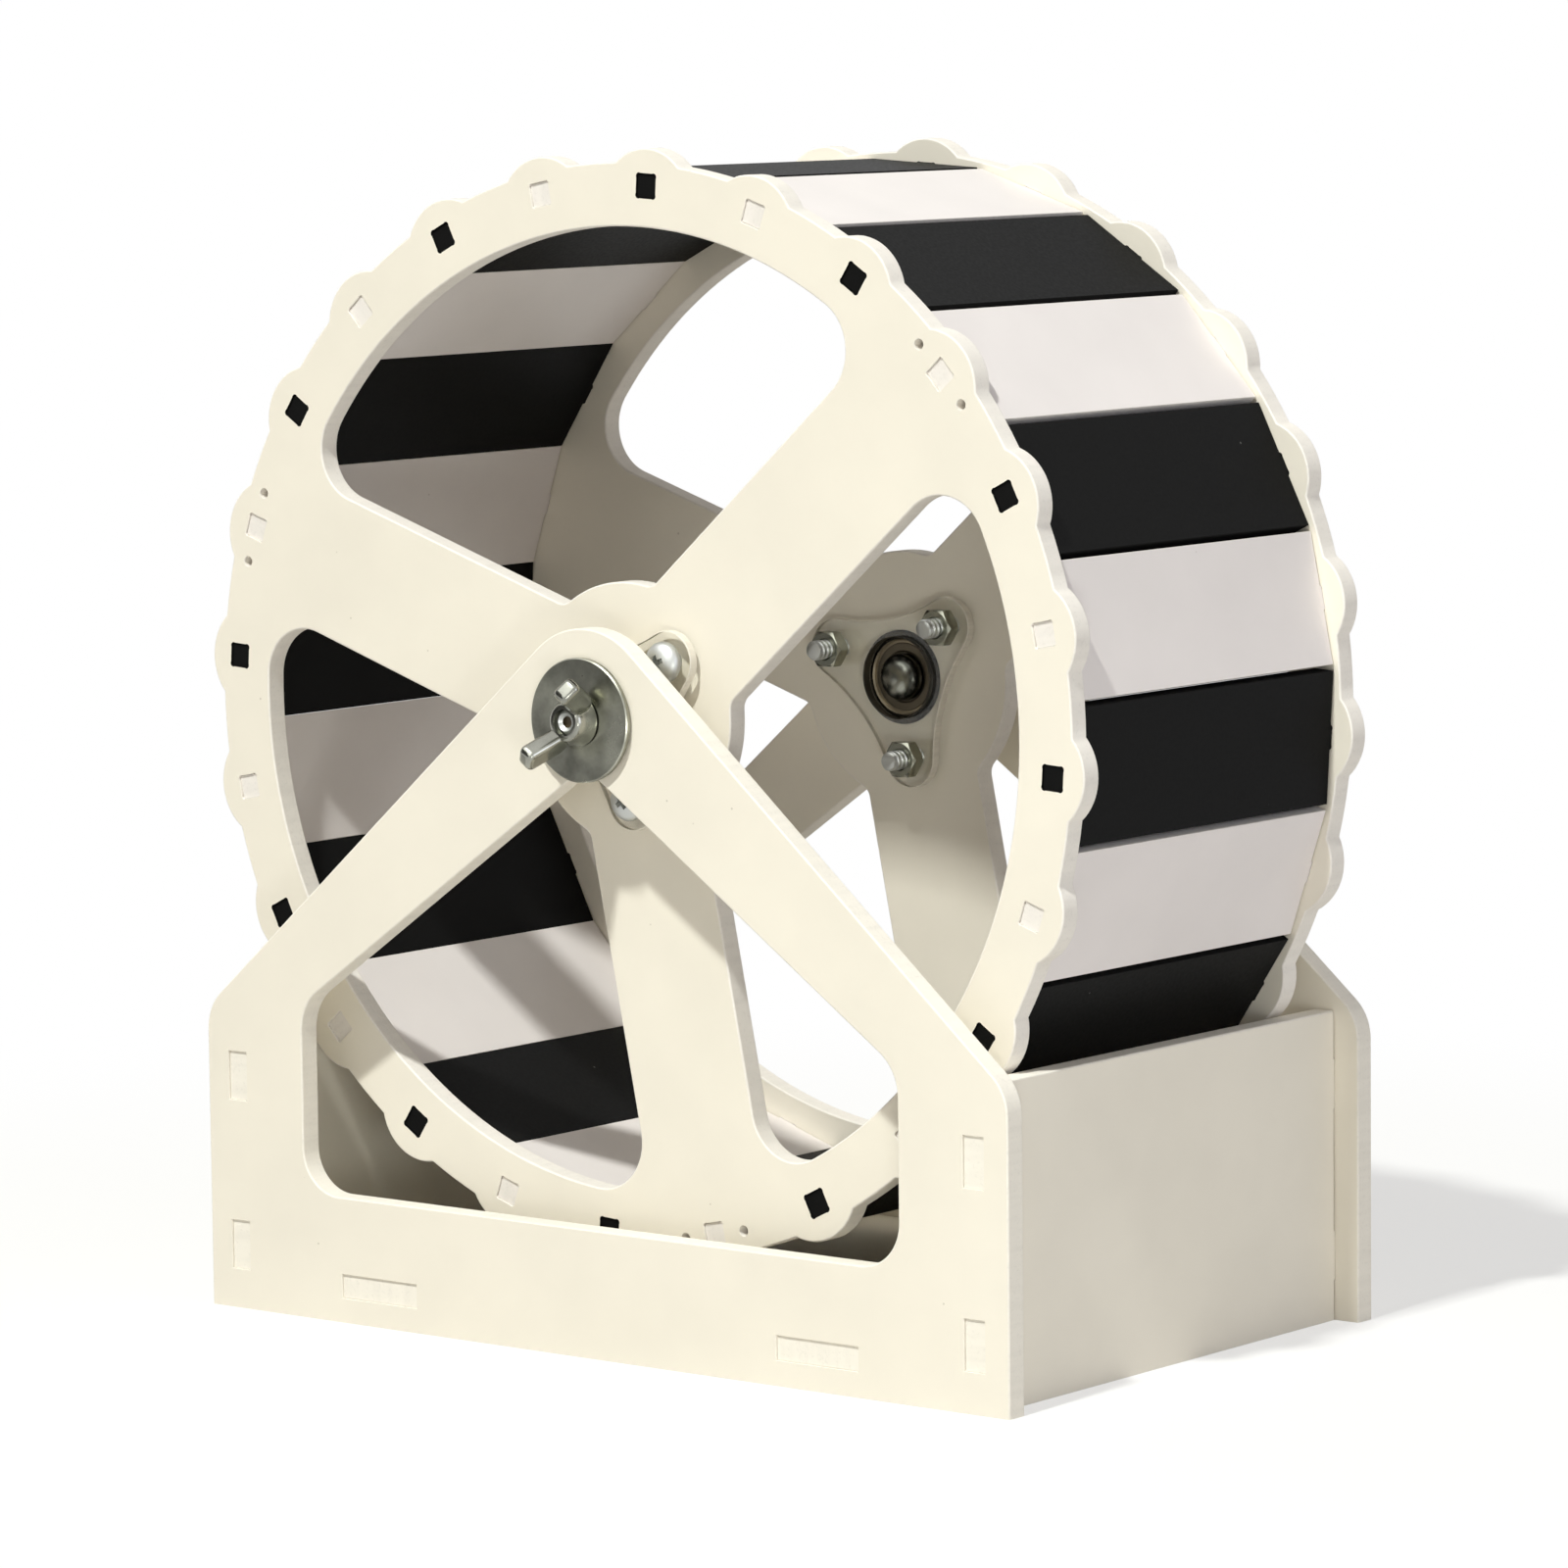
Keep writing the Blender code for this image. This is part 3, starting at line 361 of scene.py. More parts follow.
def turn_flat(bm, angle):
    """Turns everything drawn so far about the origin."""
    bmesh.ops.rotate(bm, verts=bm.verts, cent=(0, 0, 0), matrix=Matrix.Rotation(angle, 3, "Z"))


def stand_up(bm):
    """Turns a flat drawing upright, so that what was drawn along Y runs along Z."""
    bmesh.ops.rotate(bm, verts=bm.verts, cent=(0, 0, 0), matrix=Matrix.Rotation(math.pi / 2, 3, "X"))


def join_into(bm, other):
    """Adds another bmesh to this one, and frees it."""
    mesh = mesh_from(other, "joining")
    bm.from_mesh(mesh)
    bpy.data.meshes.remove(mesh)


def repeat_into(bm, one, count):
    """Adds a drawing to a bmesh, repeated all the way round the origin, and frees it."""
    bmesh.ops.spin(
        one,
        geom=one.verts[:] + one.edges[:],
        cent=(0, 0, 0),
        axis=(0, 0, 1),
        angle=2 * math.pi * (count - 1) / count,
        steps=count - 1,
        use_duplicate=True,
    )
    join_into(bm, one)


def both_sides(right):
    """Corners (x, y, radius) at the right, and then the same at the left."""
    return right + [(-x, y, radius) for x, y, radius in reversed(right)]


def draw_rounded(bm, corners):
    """A closed outline through corners (x, y, radius), each swung round at its radius."""
    pen = Pen(bm)
    for index, (x, y, radius) in enumerate(corners):
        corner = Vector((x, y))
        back = (Vector(corners[index - 1][:2]) - corner).normalized()
        ahead = (Vector(corners[(index + 1) % len(corners)][:2]) - corner).normalized()
        half = back.angle(ahead) / 2
        pen.line(*(corner + back * radius / math.tan(half)))
        if radius:
            centre = corner + (back + ahead).normalized() * radius / math.sin(half)
            pen.swing(*centre, math.copysign(math.pi - 2 * half, ahead.x * back.y - ahead.y * back.x))
    pen.close()


def draw_circle(bm, centre, radius):
    """A round hole's outline."""
    bmesh.ops.create_circle(
        bm, segments=facets(radius, 2 * math.pi), radius=radius, matrix=Matrix.Translation((*centre, 0))
    )


def draw_box(bm, centre, width, height):
    """A square-cornered hole's outline."""
    x, y = centre
    corners = [(x + i * width / 2, y + j * height / 2, 0) for i, j in ((-1, -1), (1, -1), (1, 1), (-1, 1))]
    draw_rounded(bm, corners)


# Making solids

def kind_of(face):
    """Whether a board's face is its flat surface, a cut wall or the rounding between them."""
    share = abs(face.normal.z)
    return "flat" if share > FLAT_SHARE else "wall" if share < WALL_SHARE else "rounding"


def shade_board(bm):
    """Flat surfaces stay flat, and everything along the cut is smooth; the cut takes the second material."""
    for face in bm.faces:
        flat = kind_of(face) == "flat"
        face.smooth = not flat
        face.material_index = 0 if flat else 1
    for edge in bm.edges:
        kinds = {kind_of(face) for face in edge.link_faces}
        edge.smooth = len(kinds) == 1 and edge.calc_face_angle(0) < CREASE


def round_rims(bm, rounding, segments, chosen):
    """Rounds the sharp rims between a board's flat surfaces and its walls, where chosen says so of their middle."""
    rims = [
        edge for edge in bm.edges
        if {kind_of(face) for face in edge.link_faces} == {"flat", "wall"}
        and chosen((edge.verts[0].co.xy + edge.verts[1].co.xy) / 2)
    ]
    bmesh.ops.bevel(
        bm,
        geom=rims,
        offset=rounding,
        offset_type="OFFSET",
        segments=segments,
        profile=0.5,
        affect="EDGES",
        clamp_overlap=False,
        loop_slide=False,
        material=-1,
    )


def fill_board(bm, thickness, rounding, slot_rounding=0, is_slot=lambda point: False):
    """Makes the drawn outline and its holes a board about its middle plane, with its edges rounded."""
    bmesh.ops.remove_doubles(bm, verts=bm.verts, dist=MERGE)
    bmesh.ops.triangle_fill(bm, edges=bm.edges, use_beauty=True, use_dissolve=False)
    made = bmesh.ops.extrude_face_region(bm, geom=bm.faces[:])
    top = [item for item in made["geom"] if isinstance(item, bmesh.types.BMVert)]
    bmesh.ops.translate(bm, verts=top, vec=(0, 0, thickness))
    bmesh.ops.translate(bm, verts=bm.verts, vec=(0, 0, -thickness / 2))
    bmesh.ops.recalc_face_normals(bm, faces=bm.faces)
    round_rims(bm, rounding, OPEN_SEGMENTS, lambda point: not is_slot(point))
    if slot_rounding:
        round_rims(bm, slot_rounding, SLOT_SEGMENTS, is_slot)
    shade_board(bm)


def raise_profile(bm, steps):
    """Stands a profile drawn as (radius, height) upright, and turns it about Z into a closed piece."""
    stand_up(bm)
    bmesh.ops.spin(
        bm,
        geom=bm.verts[:] + bm.edges[:],
        cent=(0, 0, 0),
        axis=(0, 0, 1),
        angle=2 * math.pi,
        steps=steps,
        use_merge=True,
        use_duplicate=False,
    )
    bmesh.ops.remove_doubles(bm, verts=bm.verts, dist=MERGE)
    bmesh.ops.recalc_face_normals(bm, faces=bm.faces)


def draw_profile(bm, points):
    """A profile of straight lines through points (radius, height)."""
    pen = Pen(bm)
    for point in points:
        pen.line(*point)
    return pen


def turned_ring(one_side, steps):
    """A ring turned about Z; the half of its section over the middle plane is given as (radius, height)."""
    bm = bmesh.new()
    draw_profile(bm, one_side + [(radius, -height) for radius, height in reversed(one_side)]).close()
    raise_profile(bm, steps)
    return bm


def chamfered_ring(outside, inside, half, chamfer, steps):
    """A plain ring with chamfered corners."""
    return turned_ring(
        [(outside, half - chamfer), (outside - chamfer, half), (inside + chamfer, half), (inside, half - chamfer)],
        steps,
    )


def smooth_metal(bm, crease=CREASE):
    """Smooth shading that keeps the real edges sharp."""
    for face in bm.faces:
        face.smooth = True
    for edge in bm.edges:
        edge.smooth = edge.calc_face_angle(0) < crease


def thread(radius, pitch, low, high, chamfer, steps):
    """A threaded rod from low to high: one turn of a toothed profile that climbs by a pitch, cut off square."""
    bm = bmesh.new()
    depth = THREAD_DEPTH * pitch
    teeth = math.ceil((high - low) / pitch) + 3
    foot = low - 2 * pitch
    pen = Pen(bm)
    pen.line(radius - depth, foot)
    for tooth in range(teeth):
        level = foot + tooth * pitch
        pen.line(radius, level + CREST_START * pitch)
        pen.line(radius, level + CREST_END * pitch)
        pen.line(radius - depth, level + pitch)
    stand_up(bm)
    bmesh.ops.spin(
        bm,
        geom=bm.verts[:] + bm.edges[:],
        cent=(0, 0, 0),
        axis=(0, 0, 1),
        dvec=(0, 0, pitch / steps),
        angle=2 * math.pi,
        steps=steps,
        use_duplicate=False,
    )
    bmesh.ops.remove_doubles(bm, verts=bm.verts, dist=MERGE)
    for level, outward in ((low, -1), (high, 1)):
        everything = bm.verts[:] + bm.edges[:] + bm.faces[:]
        bmesh.ops.bisect_plane(
            bm, geom=everything, dist=MERGE, plane_co=(0, 0, level), plane_no=(0, 0, outward), clear_outer=True
        )
    for vert in bm.verts:
        reach = Vector(vert.co.xy).length
        limit = radius - max(0, low + chamfer - vert.co.z)
        if reach > limit:
            vert.co.xy *= limit / reach
    bmesh.ops.holes_fill(bm, edges=[edge for edge in bm.edges if edge.is_boundary], sides=0)
    bmesh.ops.recalc_face_normals(bm, faces=bm.faces)
    smooth_metal(bm, CAST_CREASE)
    return bm


def stand_for(node, suffix, bm, materials, place, shift=0):
    """Makes a finished bmesh the piece that stands for a node: it rides on the node's body.

    It is moved to its place in the row frame, and keeps where each point lies on the piece itself.
    """
    own = bm.verts.layers.float_vector.new("on_piece")
    for vert in bm.verts:
        vert[own] = vert.co + Vector((0, 0, shift))
    mesh = mesh_from(bm, node)
    mesh.transform(place)
    for material in materials:
        mesh.materials.append(material)
    obj = new_object(f"{node}_{suffix}", mesh)
    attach(obj, BODY_OF[node])
    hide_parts(node)


def combined(name, bm, others):
    """A bmesh joined with or cut by others, by Boolean modifiers that are then applied."""
    body = new_object(name, mesh_from(bm, name))
    tools = []
    for operation, other in others:
        tool = new_object(f"{name}_tool", mesh_from(other, f"{name}_tool"))
        modifier = body.modifiers.new(operation, "BOOLEAN")
        modifier.operation = operation
        modifier.solver = "EXACT"
        modifier.object = tool
        tools.append(tool)
    bpy.context.view_layer.update()
    graph = bpy.context.evaluated_depsgraph_get()
    result = bmesh.new()
    result.from_mesh(body.evaluated_get(graph).to_mesh())
    bmesh.ops.remove_doubles(result, verts=result.verts, dist=MERGE)
    for obj in (body, *tools):
        bpy.data.objects.remove(obj)
    return result


# Finishes

PER_MM = 1000  # pattern repeats in a metre for one in a millimetre
DIRT = linear("#8A7F6A")  # specks in the pale boards
DUST = linear("#8F8F8C")  # specks on the black boards


def scaled(value, factor):
    """A linear colour, lighter or darker."""
    return [min(1, channel * factor) for channel in value]


def set_inputs(tree, node, inputs):
    """Sets a node's inputs to plain values, or links them to other nodes' outputs."""
    for name, value in inputs.items():
        if isinstance(value, bpy.types.NodeSocket):
            tree.links.new(value, node.inputs[name])
        else:
            node.inputs[name].default_value = value


def add(tree, kind, inputs=None, stops=(), **settings):
    """Adds one shader node, with its settings, its inputs and, on a colour ramp, its stops."""
    node = tree.nodes.new(kind)
    for name, value in settings.items():
        setattr(node, name, value)
    set_inputs(tree, node, inputs or {})
    for index, (position, value) in enumerate(stops):
        elements = node.color_ramp.elements
        element = elements[index] if index < len(elements) else elements.new(position)
        element.position = position
        element.color = (*value, 1)
    return node


def new_material(name):
    """A material with one Principled shader, with its node tree and that shader."""
    material = bpy.data.materials.new(name)
    material.use_nodes = True
    tree = material.node_tree
    return material, tree, tree.nodes["Principled BSDF"]


def foam_sheet(name, base, speck, gloss, level=0.5):
    """Calendered skin of foam PVC: satin and even, with a faint cloudiness and a few dark specks in it."""
    material, tree, shader = new_material(name)
    place = add(tree, "ShaderNodeAttribute", attribute_name="on_piece").outputs["Vector"]
    # Clouds of about 29 mm, and specks one to a cell of 13 mm
    cloud = add(tree, "ShaderNodeTexNoise", {"Vector": place, "Scale": 0.035 * PER_MM, "Detail": 3.0})
    specks = add(tree, "ShaderNodeTexVoronoi", {"Vector": place, "Scale": 0.075 * PER_MM, "Randomness": 1.0})
    # The rollers' grain is under 0.1 mm, and is drawn at 0.7 mm so that it shows in the gloss
    grain = add(tree, "ShaderNodeTexNoise", {"Vector": place, "Scale": 1.4 * PER_MM, "Detail": 2.0}).outputs["Fac"]
    skin = add(
        tree,
        "ShaderNodeValToRGB",
        {"Fac": cloud.outputs["Fac"]},
        [(0.35, scaled(base, 0.975)), (0.65, scaled(base, 1.02))],
    )
    near = add(
        tree,
        "ShaderNodeMapRange",
        {"Value": specks.outputs["Distance"], "From Min": 0.012, "From Max": 0.022, "To Min": 0.35, "To Max": 0.0},
    )
    specked = add(
        tree,
        "ShaderNodeMix",
        {"Factor": near.outputs["Result"], "A": skin.outputs["Color"], "B": (*speck, 1)},
        data_type="RGBA",
    )
    rough = add(
        tree,
        "ShaderNodeMapRange",
        {"Value": grain, "From Min": 0.3, "From Max": 0.7, "To Min": gloss - 0.03, "To Max": gloss + 0.05},
    )
    bump = add(tree, "ShaderNodeBump", {"Height": grain, "Strength": 0.08, "Distance": 0.00004})
    set_inputs(tree, shader, {
        "Base Color": specked.outputs["Result"],
        "Roughness": rough.outputs["Result"],
        "Normal": bump.outputs["Normal"],
        "IOR": 1.52,
        "Specular IOR Level": level,
    })
    return material


def foam_cut(name, base, level=0.5):
    """Router-cut foam PVC: matt, with the cutter's marks across the thickness and the foam's open cells."""
    material, tree, shader = new_material(name)
    place = add(tree, "ShaderNodeAttribute", attribute_name="on_piece").outputs["Vector"]
    along = add(tree, "ShaderNodeMapping", {"Vector": place, "Scale": (1, 1, 0.08)}).outputs["Vector"]
    # The cutter's marks are about 0.3 mm apart and the cells 0.1 mm across: both are drawn coarser, to show
    marks = add(tree, "ShaderNodeTexNoise", {"Vector": along, "Scale": 0.55 * PER_MM, "Detail": 3.0}).outputs["Fac"]
    cells = add(tree, "ShaderNodeTexNoise", {"Vector": place, "Scale": 1.5 * PER_MM, "Detail": 2.0}).outputs["Fac"]
    skin = add(
        tree,
        "ShaderNodeValToRGB",
        {"Fac": marks},
        [(0.30, scaled(base, 0.96)), (0.52, base), (0.75, scaled(base, 1.02))],
    )
    pores = add(tree, "ShaderNodeValToRGB", {"Fac": cells}, [(0.28, [0.94] * 3), (0.44, [1, 1, 1])])
    porous = add(
        tree,
        "ShaderNodeMix",
        {"Factor": 1.0, "A": skin.outputs["Color"], "B": pores.outputs["Color"]},
        data_type="RGBA",
        blend_type="MULTIPLY",
    )
    height = add(tree, "ShaderNodeMath", {0: marks, 1: cells}, operation="ADD").outputs["Value"]
    bump = add(tree, "ShaderNodeBump", {"Height": height, "Strength": 0.25, "Distance": 0.00008})
    set_inputs(tree, shader, {
        "Base Color": porous.outputs["Result"],
        "Roughness": 0.72,
        "Normal": bump.outputs["Normal"],
        "IOR": 1.52,
        "Specular IOR Level": level,
    })
    return material


def lasered_acrylic(name, base, roughness):
    """Clear cast acrylic, cut by laser: it shows what lies behind it, and lets the lamps through."""
    material, tree, shader = new_material(name)
    place = add(tree, "ShaderNodeAttribute", attribute_name="on_piece").outputs["Vector"]
    # Wipe marks of about 7 mm
    smear = add(tree, "ShaderNodeTexNoise", {"Vector": place, "Scale": 0.15 * PER_MM, "Detail": 2.0})
    rough = add(
        tree,
        "ShaderNodeMapRange",
        {"Value": smear.outputs["Fac"], "To Min": roughness, "To Max": roughness + 0.06},
    )
    set_inputs(tree, shader, {
        "Base Color": (*base, 1),
        "Roughness": rough.outputs["Result"],
        "IOR": 1.49,
        "Transmission Weight": 1.0,
    })
    ray = add(tree, "ShaderNodeLightPath").outputs
    through = add(tree, "ShaderNodeBsdfTransparent", {"Color": (*base, 1)})
    either = add(
        tree,
        "ShaderNodeMath",
        {0: ray["Is Shadow Ray"], 1: ray["Is Diffuse Ray"]},
        operation="MAXIMUM",
    )
    mixed = add(
        tree,
        "ShaderNodeMixShader",
        {0: either.outputs["Value"], 1: shader.outputs["BSDF"], 2: through.outputs["BSDF"]},
    )
    set_inputs(tree, tree.nodes["Material Output"], {"Surface": mixed.outputs["Shader"]})
    return material


def lasered_edge(name, base):
    """The laser's cut through clear acrylic: opaque, painted in what shows through it, with the beam's fine stripes
    across the thickness.
    """
    material, tree, shader = new_material(name)
    place = add(tree, "ShaderNodeAttribute", attribute_name="on_piece").outputs["Vector"]
    along = add(tree, "ShaderNodeMapping", {"Vector": place, "Scale": (1, 1, 0.05)}).outputs["Vector"]
    # The beam's stripes are about 0.1 mm apart, and are drawn 0.8 mm apart so that they show
    stripes = add(tree, "ShaderNodeTexNoise", {"Vector": along, "Scale": 1.2 * PER_MM, "Detail": 2.0}).outputs["Fac"]
    skin = add(
        tree,
        "ShaderNodeValToRGB",
        {"Fac": stripes},
        [(0.35, scaled(base, 0.95)), (0.65, scaled(base, 1.05))],
    )
    rough = add(tree, "ShaderNodeMapRange", {"Value": stripes, "To Min": 0.25, "To Max": 0.45})
    set_inputs(tree, shader, {
        "Base Color": skin.outputs["Color"],
        "Roughness": rough.outputs["Result"],
        "IOR": 1.49,
    })
    return material


def steel_surface(name, bright, dull, roughness, ring_scale, brushed=0.0, dark_rim_radius=0.0):
    """Plated, turned or ground steel: a cloudy sheen with fine turned rings, and a painted dark reflection outside a
    radius.
    """
    material, tree, shader = new_material(name)
    place = add(tree, "ShaderNodeAttribute", attribute_name="on_piece").outputs["Vector"]
    # Clouds of about 6 mm, as on zinc that has been handled
    cloud = add(tree, "ShaderNodeTexNoise", {"Vector": place, "Scale": 0.16 * PER_MM, "Detail": 4.0}).outputs["Fac"]
    skin = add(tree, "ShaderNodeValToRGB", {"Fac": cloud}, [(0.35, dull), (0.65, bright)]).outputs["Color"]
    flat = add(tree, "ShaderNodeMapping", {"Vector": place, "Scale": (1, 1, 0.001)}).outputs["Vector"]
    radius = add(tree, "ShaderNodeVectorMath", {0: flat}, operation="LENGTH").outputs["Value"]
    # A lathe's rings are about 0.1 mm apart, and are drawn 0.3 mm apart or more so that they show
    rings = add(
        tree,
        "ShaderNodeTexNoise",
        {"W": radius, "Scale": ring_scale * PER_MM, "Detail": 2.0},
        noise_dimensions="1D",
    )
    rough = add(
        tree,
        "ShaderNodeMapRange",
        {"Value": cloud, "From Min": 0.3, "From Max": 0.7, "To Min": roughness + 0.08, "To Max": roughness},
    )
    bump = add(tree, "ShaderNodeBump", {"Height": rings.outputs["Fac"], "Strength": 0.12, "Distance": 0.00003})
    # Painted reflection: dark outside the radius, where a domed head would mirror its dark surroundings
    if dark_rim_radius:
        dark_rim = add(
            tree,
            "ShaderNodeMapRange",
            {"Value": radius, "From Min": dark_rim_radius, "From Max": dark_rim_radius * 1.25, "To Max": 0.85},
        )
        skin = add(
            tree,
            "ShaderNodeMix",
            {"Factor": dark_rim.outputs["Result"], "A": skin, "B": (*scaled(dull, 0.1), 1)},
            data_type="RGBA",
        ).outputs["Result"]
    set_inputs(tree, shader, {
        "Base Color": skin,
        "Metallic": 1.0,
        "Roughness": rough.outputs["Result"],
        "Normal": bump.outputs["Normal"],
        "Anisotropic": brushed,
    })
    if brushed:
        around = add(tree, "ShaderNodeTangent", direction_type="RADIAL", axis="Y")
        set_inputs(tree, shader, {"Tangent": around.outputs["Tangent"]})
    return material


def finish(name):
    """One of the wheel's finishes, made the first time that a piece asks for it."""
    made = bpy.data.materials.get(name)
    if made:
        return made
    tone = sizes("finishes")
    zinc, dull_zinc, washer, axle = tone.zinc, tone.zinc_shade, tone.washer_steel, tone.axle_steel
    ring, shield = tone.ring_steel, tone.shield_steel
    # Each finish's maker and its values: colours first, then roughness, then what only some of them have
    makers = {
        # Calendered cream board: satin, hardly cloudy
        "foam_pvc_frame_skin": (foam_sheet, tone.frame_sheet, DIRT, 0.42),
        "foam_pvc_disc_skin": (foam_sheet, tone.disc_sheet, DIRT, 0.42),
        # Calendered white board: cooler and a little duller than the cream
        "foam_pvc_white_skin": (foam_sheet, tone.white_sheet, DIRT, 0.45),
        # Calendered black board: deep and nearly matt, with specks of dust
        "foam_pvc_black_skin": (foam_sheet, tone.black_sheet, DUST, 0.50, 0.04),
        # Routed edges: matt and paler than the skin, with the cutter's marks
        "foam_pvc_frame_cut": (foam_cut, tone.frame_cut),
        "foam_pvc_disc_cut": (foam_cut, tone.disc_cut),
        "foam_pvc_white_cut": (foam_cut, tone.white_cut),
        "foam_pvc_black_cut": (foam_cut, tone.black_cut, 0.04),
        # Cast acrylic sheet: clear, with faint wipe marks in its gloss
        "acrylic_plate": (lasered_acrylic, tone.clear, 0.03),
        # Its lasered edge is opaque and painted in the tone of what shows through it: a darker cream over the disc,
        # dark over the bearing
        "acrylic_lasered_edge": (lasered_edge, scaled(tone.frame_sheet, 0.86)),
        "acrylic_edge_over_steel": (lasered_edge, ring),
        # Bright zinc on smooth heads and threads: mirrors the room
        "zinc_plated_steel": (steel_surface, zinc, dull_zinc, 0.06, 1.0),
        # Barrel-plated nuts: duller and a shade darker
        "zinc_plated_nut": (steel_surface, dull_zinc, scaled(dull_zinc, 0.7), 0.20, 1.0),
        # Turned washers: round brush marks stretch the gloss into fans, with dark clouds
        "zinc_turned_washer": (steel_surface, scaled(washer, 0.76), scaled(washer, 0.36), 0.26, 2.4, 0.7),
        # Cast and tumbled wing nuts: grey, with soft bright lights
        "zinc_cast_wing_nut": (steel_surface, scaled(zinc, 0.62), scaled(zinc, 0.42), 0.14, 0.4),
        # The axle bolts' heads: lighter in the middle, and painted dark round the rim as a painted reflection of the
        # dark wheel
        "worn_axle_steel": (steel_surface, scaled(axle, 1.2), scaled(axle, 0.8), 0.22, 1.0, 0.0, DARK_RIM_RADIUS),
        # Ground bearing rings: smooth, and painted far darker than bare steel, partly as painted shade round the
        # bearing
        "ground_ring_steel": (steel_surface, ring, scaled(ring, 0.8), 0.22, 1.0),
        # Pressed shields: brownish and half matt; the pale line round their rim and the ring's inner chamfer is a
        # painted highlight
        "pressed_shield_steel": (steel_surface, shield, scaled(shield, 0.8), 0.3, 3.0),
        "crimped_shield_rim": (steel_surface, scaled(shield, 2.4), scaled(shield, 1.9), 0.42, 1.0),
    }
    make, *values = makers[name]
    return make(name, *values)


def board_finish(kind):
    """The two finishes of a board: its skin and its cut."""
    return [finish(f"foam_pvc_{kind}_skin"), finish(f"foam_pvc_{kind}_cut")]


# Where pieces go

def facing(y, outward=-1, x=0, z=AXLE_HEIGHT, spin=0):
    """Stands a flat piece up at y, with its own +Z pointing out of the front, or out of the rear where outward is 1."""
    tip = Matrix.Rotation(-outward * math.pi / 2, 4, "X")
    return Matrix.Translation((x, y, z)) @ tip @ Matrix.Rotation(spin, 4, "Z")


def end_sign(end):
    """The way out of the wheel along Y: -1 at the front and 1 at the rear."""
    return -1 if end == FRONT else 1


def panel_slope():
    """The angle of a panel's sloping edge, tangent to its round apex."""
    s = sizes("frame")
    rise = AXLE_HEIGHT - s.shoulder
    return math.atan2(rise, s.half_width) + math.asin(s.apex_radius / math.hypot(s.half_width, rise))


def side_tab_heights():
    """The middles of a side panel's two tabs, over the ground."""
    s = sizes("frame")
    top = extent("right_side_panel").z
    return (s.side_tab_low + s.side_tab / 2, top - s.side_tab_high - s.side_tab / 2)


def draw_tabbed(bm, half_length, low, high, reach, places, width):
    """A board with tabs at both ends: it runs along X, and the tabs reach out along X."""
    right = [(half_length, low, 0)]
    for place in places:
        near, far = place - width / 2, place + width / 2
        right += [(half_length, near, 0), (reach, near, 0), (reach, far, 0), (half_length, far, 0)]
    right.append((half_length, high, 0))
    draw_rounded(bm, both_sides(right))


# The boards

def panel_slots():
    """The centre, width and height of each slot in an end panel."""
    s = sizes("frame")
    gap = 2 * sizes("wheel").tab_gap
    slots = [
        ((middle(node).x, z), s.board + gap, s.side_tab + gap)
        for node in ("left_side_panel", "right_side_panel")
        for z in side_tab_heights()
    ]
    for side in (-1, 1):
        place = (side * s.floor_tab_spread / 2, middle("floor_panel").z)
        slots.append((place, s.floor_tab + gap, s.board + gap))
    return slots


def on_panel_slot(point):
    """Whether a point of an end panel lies on a slot's edge, on the axle hole's or on the lower edge."""
    on_slot = any(
        abs(point.x - x) < width / 2 + NEAR and abs(point.y - z) < height / 2 + NEAR
        for (x, z), width, height in panel_slots()
    )
    return on_slot or point.y < MERGE or (point - Vector((0, AXLE_HEIGHT))).length < HUB_MARGIN


def end_panel_board():
    """The five-sided end panel with its opening, axle hole and slots, drawn from the ground up."""
    s = sizes("frame")
    slope = panel_slope()
    bm = bmesh.new()
    apex = AXLE_HEIGHT + s.apex_radius / math.cos(slope)
    draw_rounded(bm, [
        (-s.half_width, 0, 0),
        (s.half_width, 0, 0),
        (s.half_width, s.shoulder, s.shoulder_radius),
        (0, apex, s.apex_radius),
        (-s.half_width, s.shoulder, s.shoulder_radius),
    ])
    half = s.half_width - s.post_width
    corner = s.shoulder + s.post_width * math.tan(slope) - s.shoulder_wall / math.cos(slope)
    bore = sizes("hardware").bearing_bore
    draw_rounded(bm, [
        (-half, s.rail_height, s.opening_foot),
        (half, s.rail_height, s.opening_foot),
        (half, corner, s.opening_shoulder),
        (0, AXLE_HEIGHT - bore - s.apex_wall, s.opening_apex),
        (-half, corner, s.opening_shoulder),
    ])
    draw_circle(bm, (0, AXLE_HEIGHT), bore)
    for place, width, height in panel_slots():
        draw_box(bm, place, width, height)
    return bm


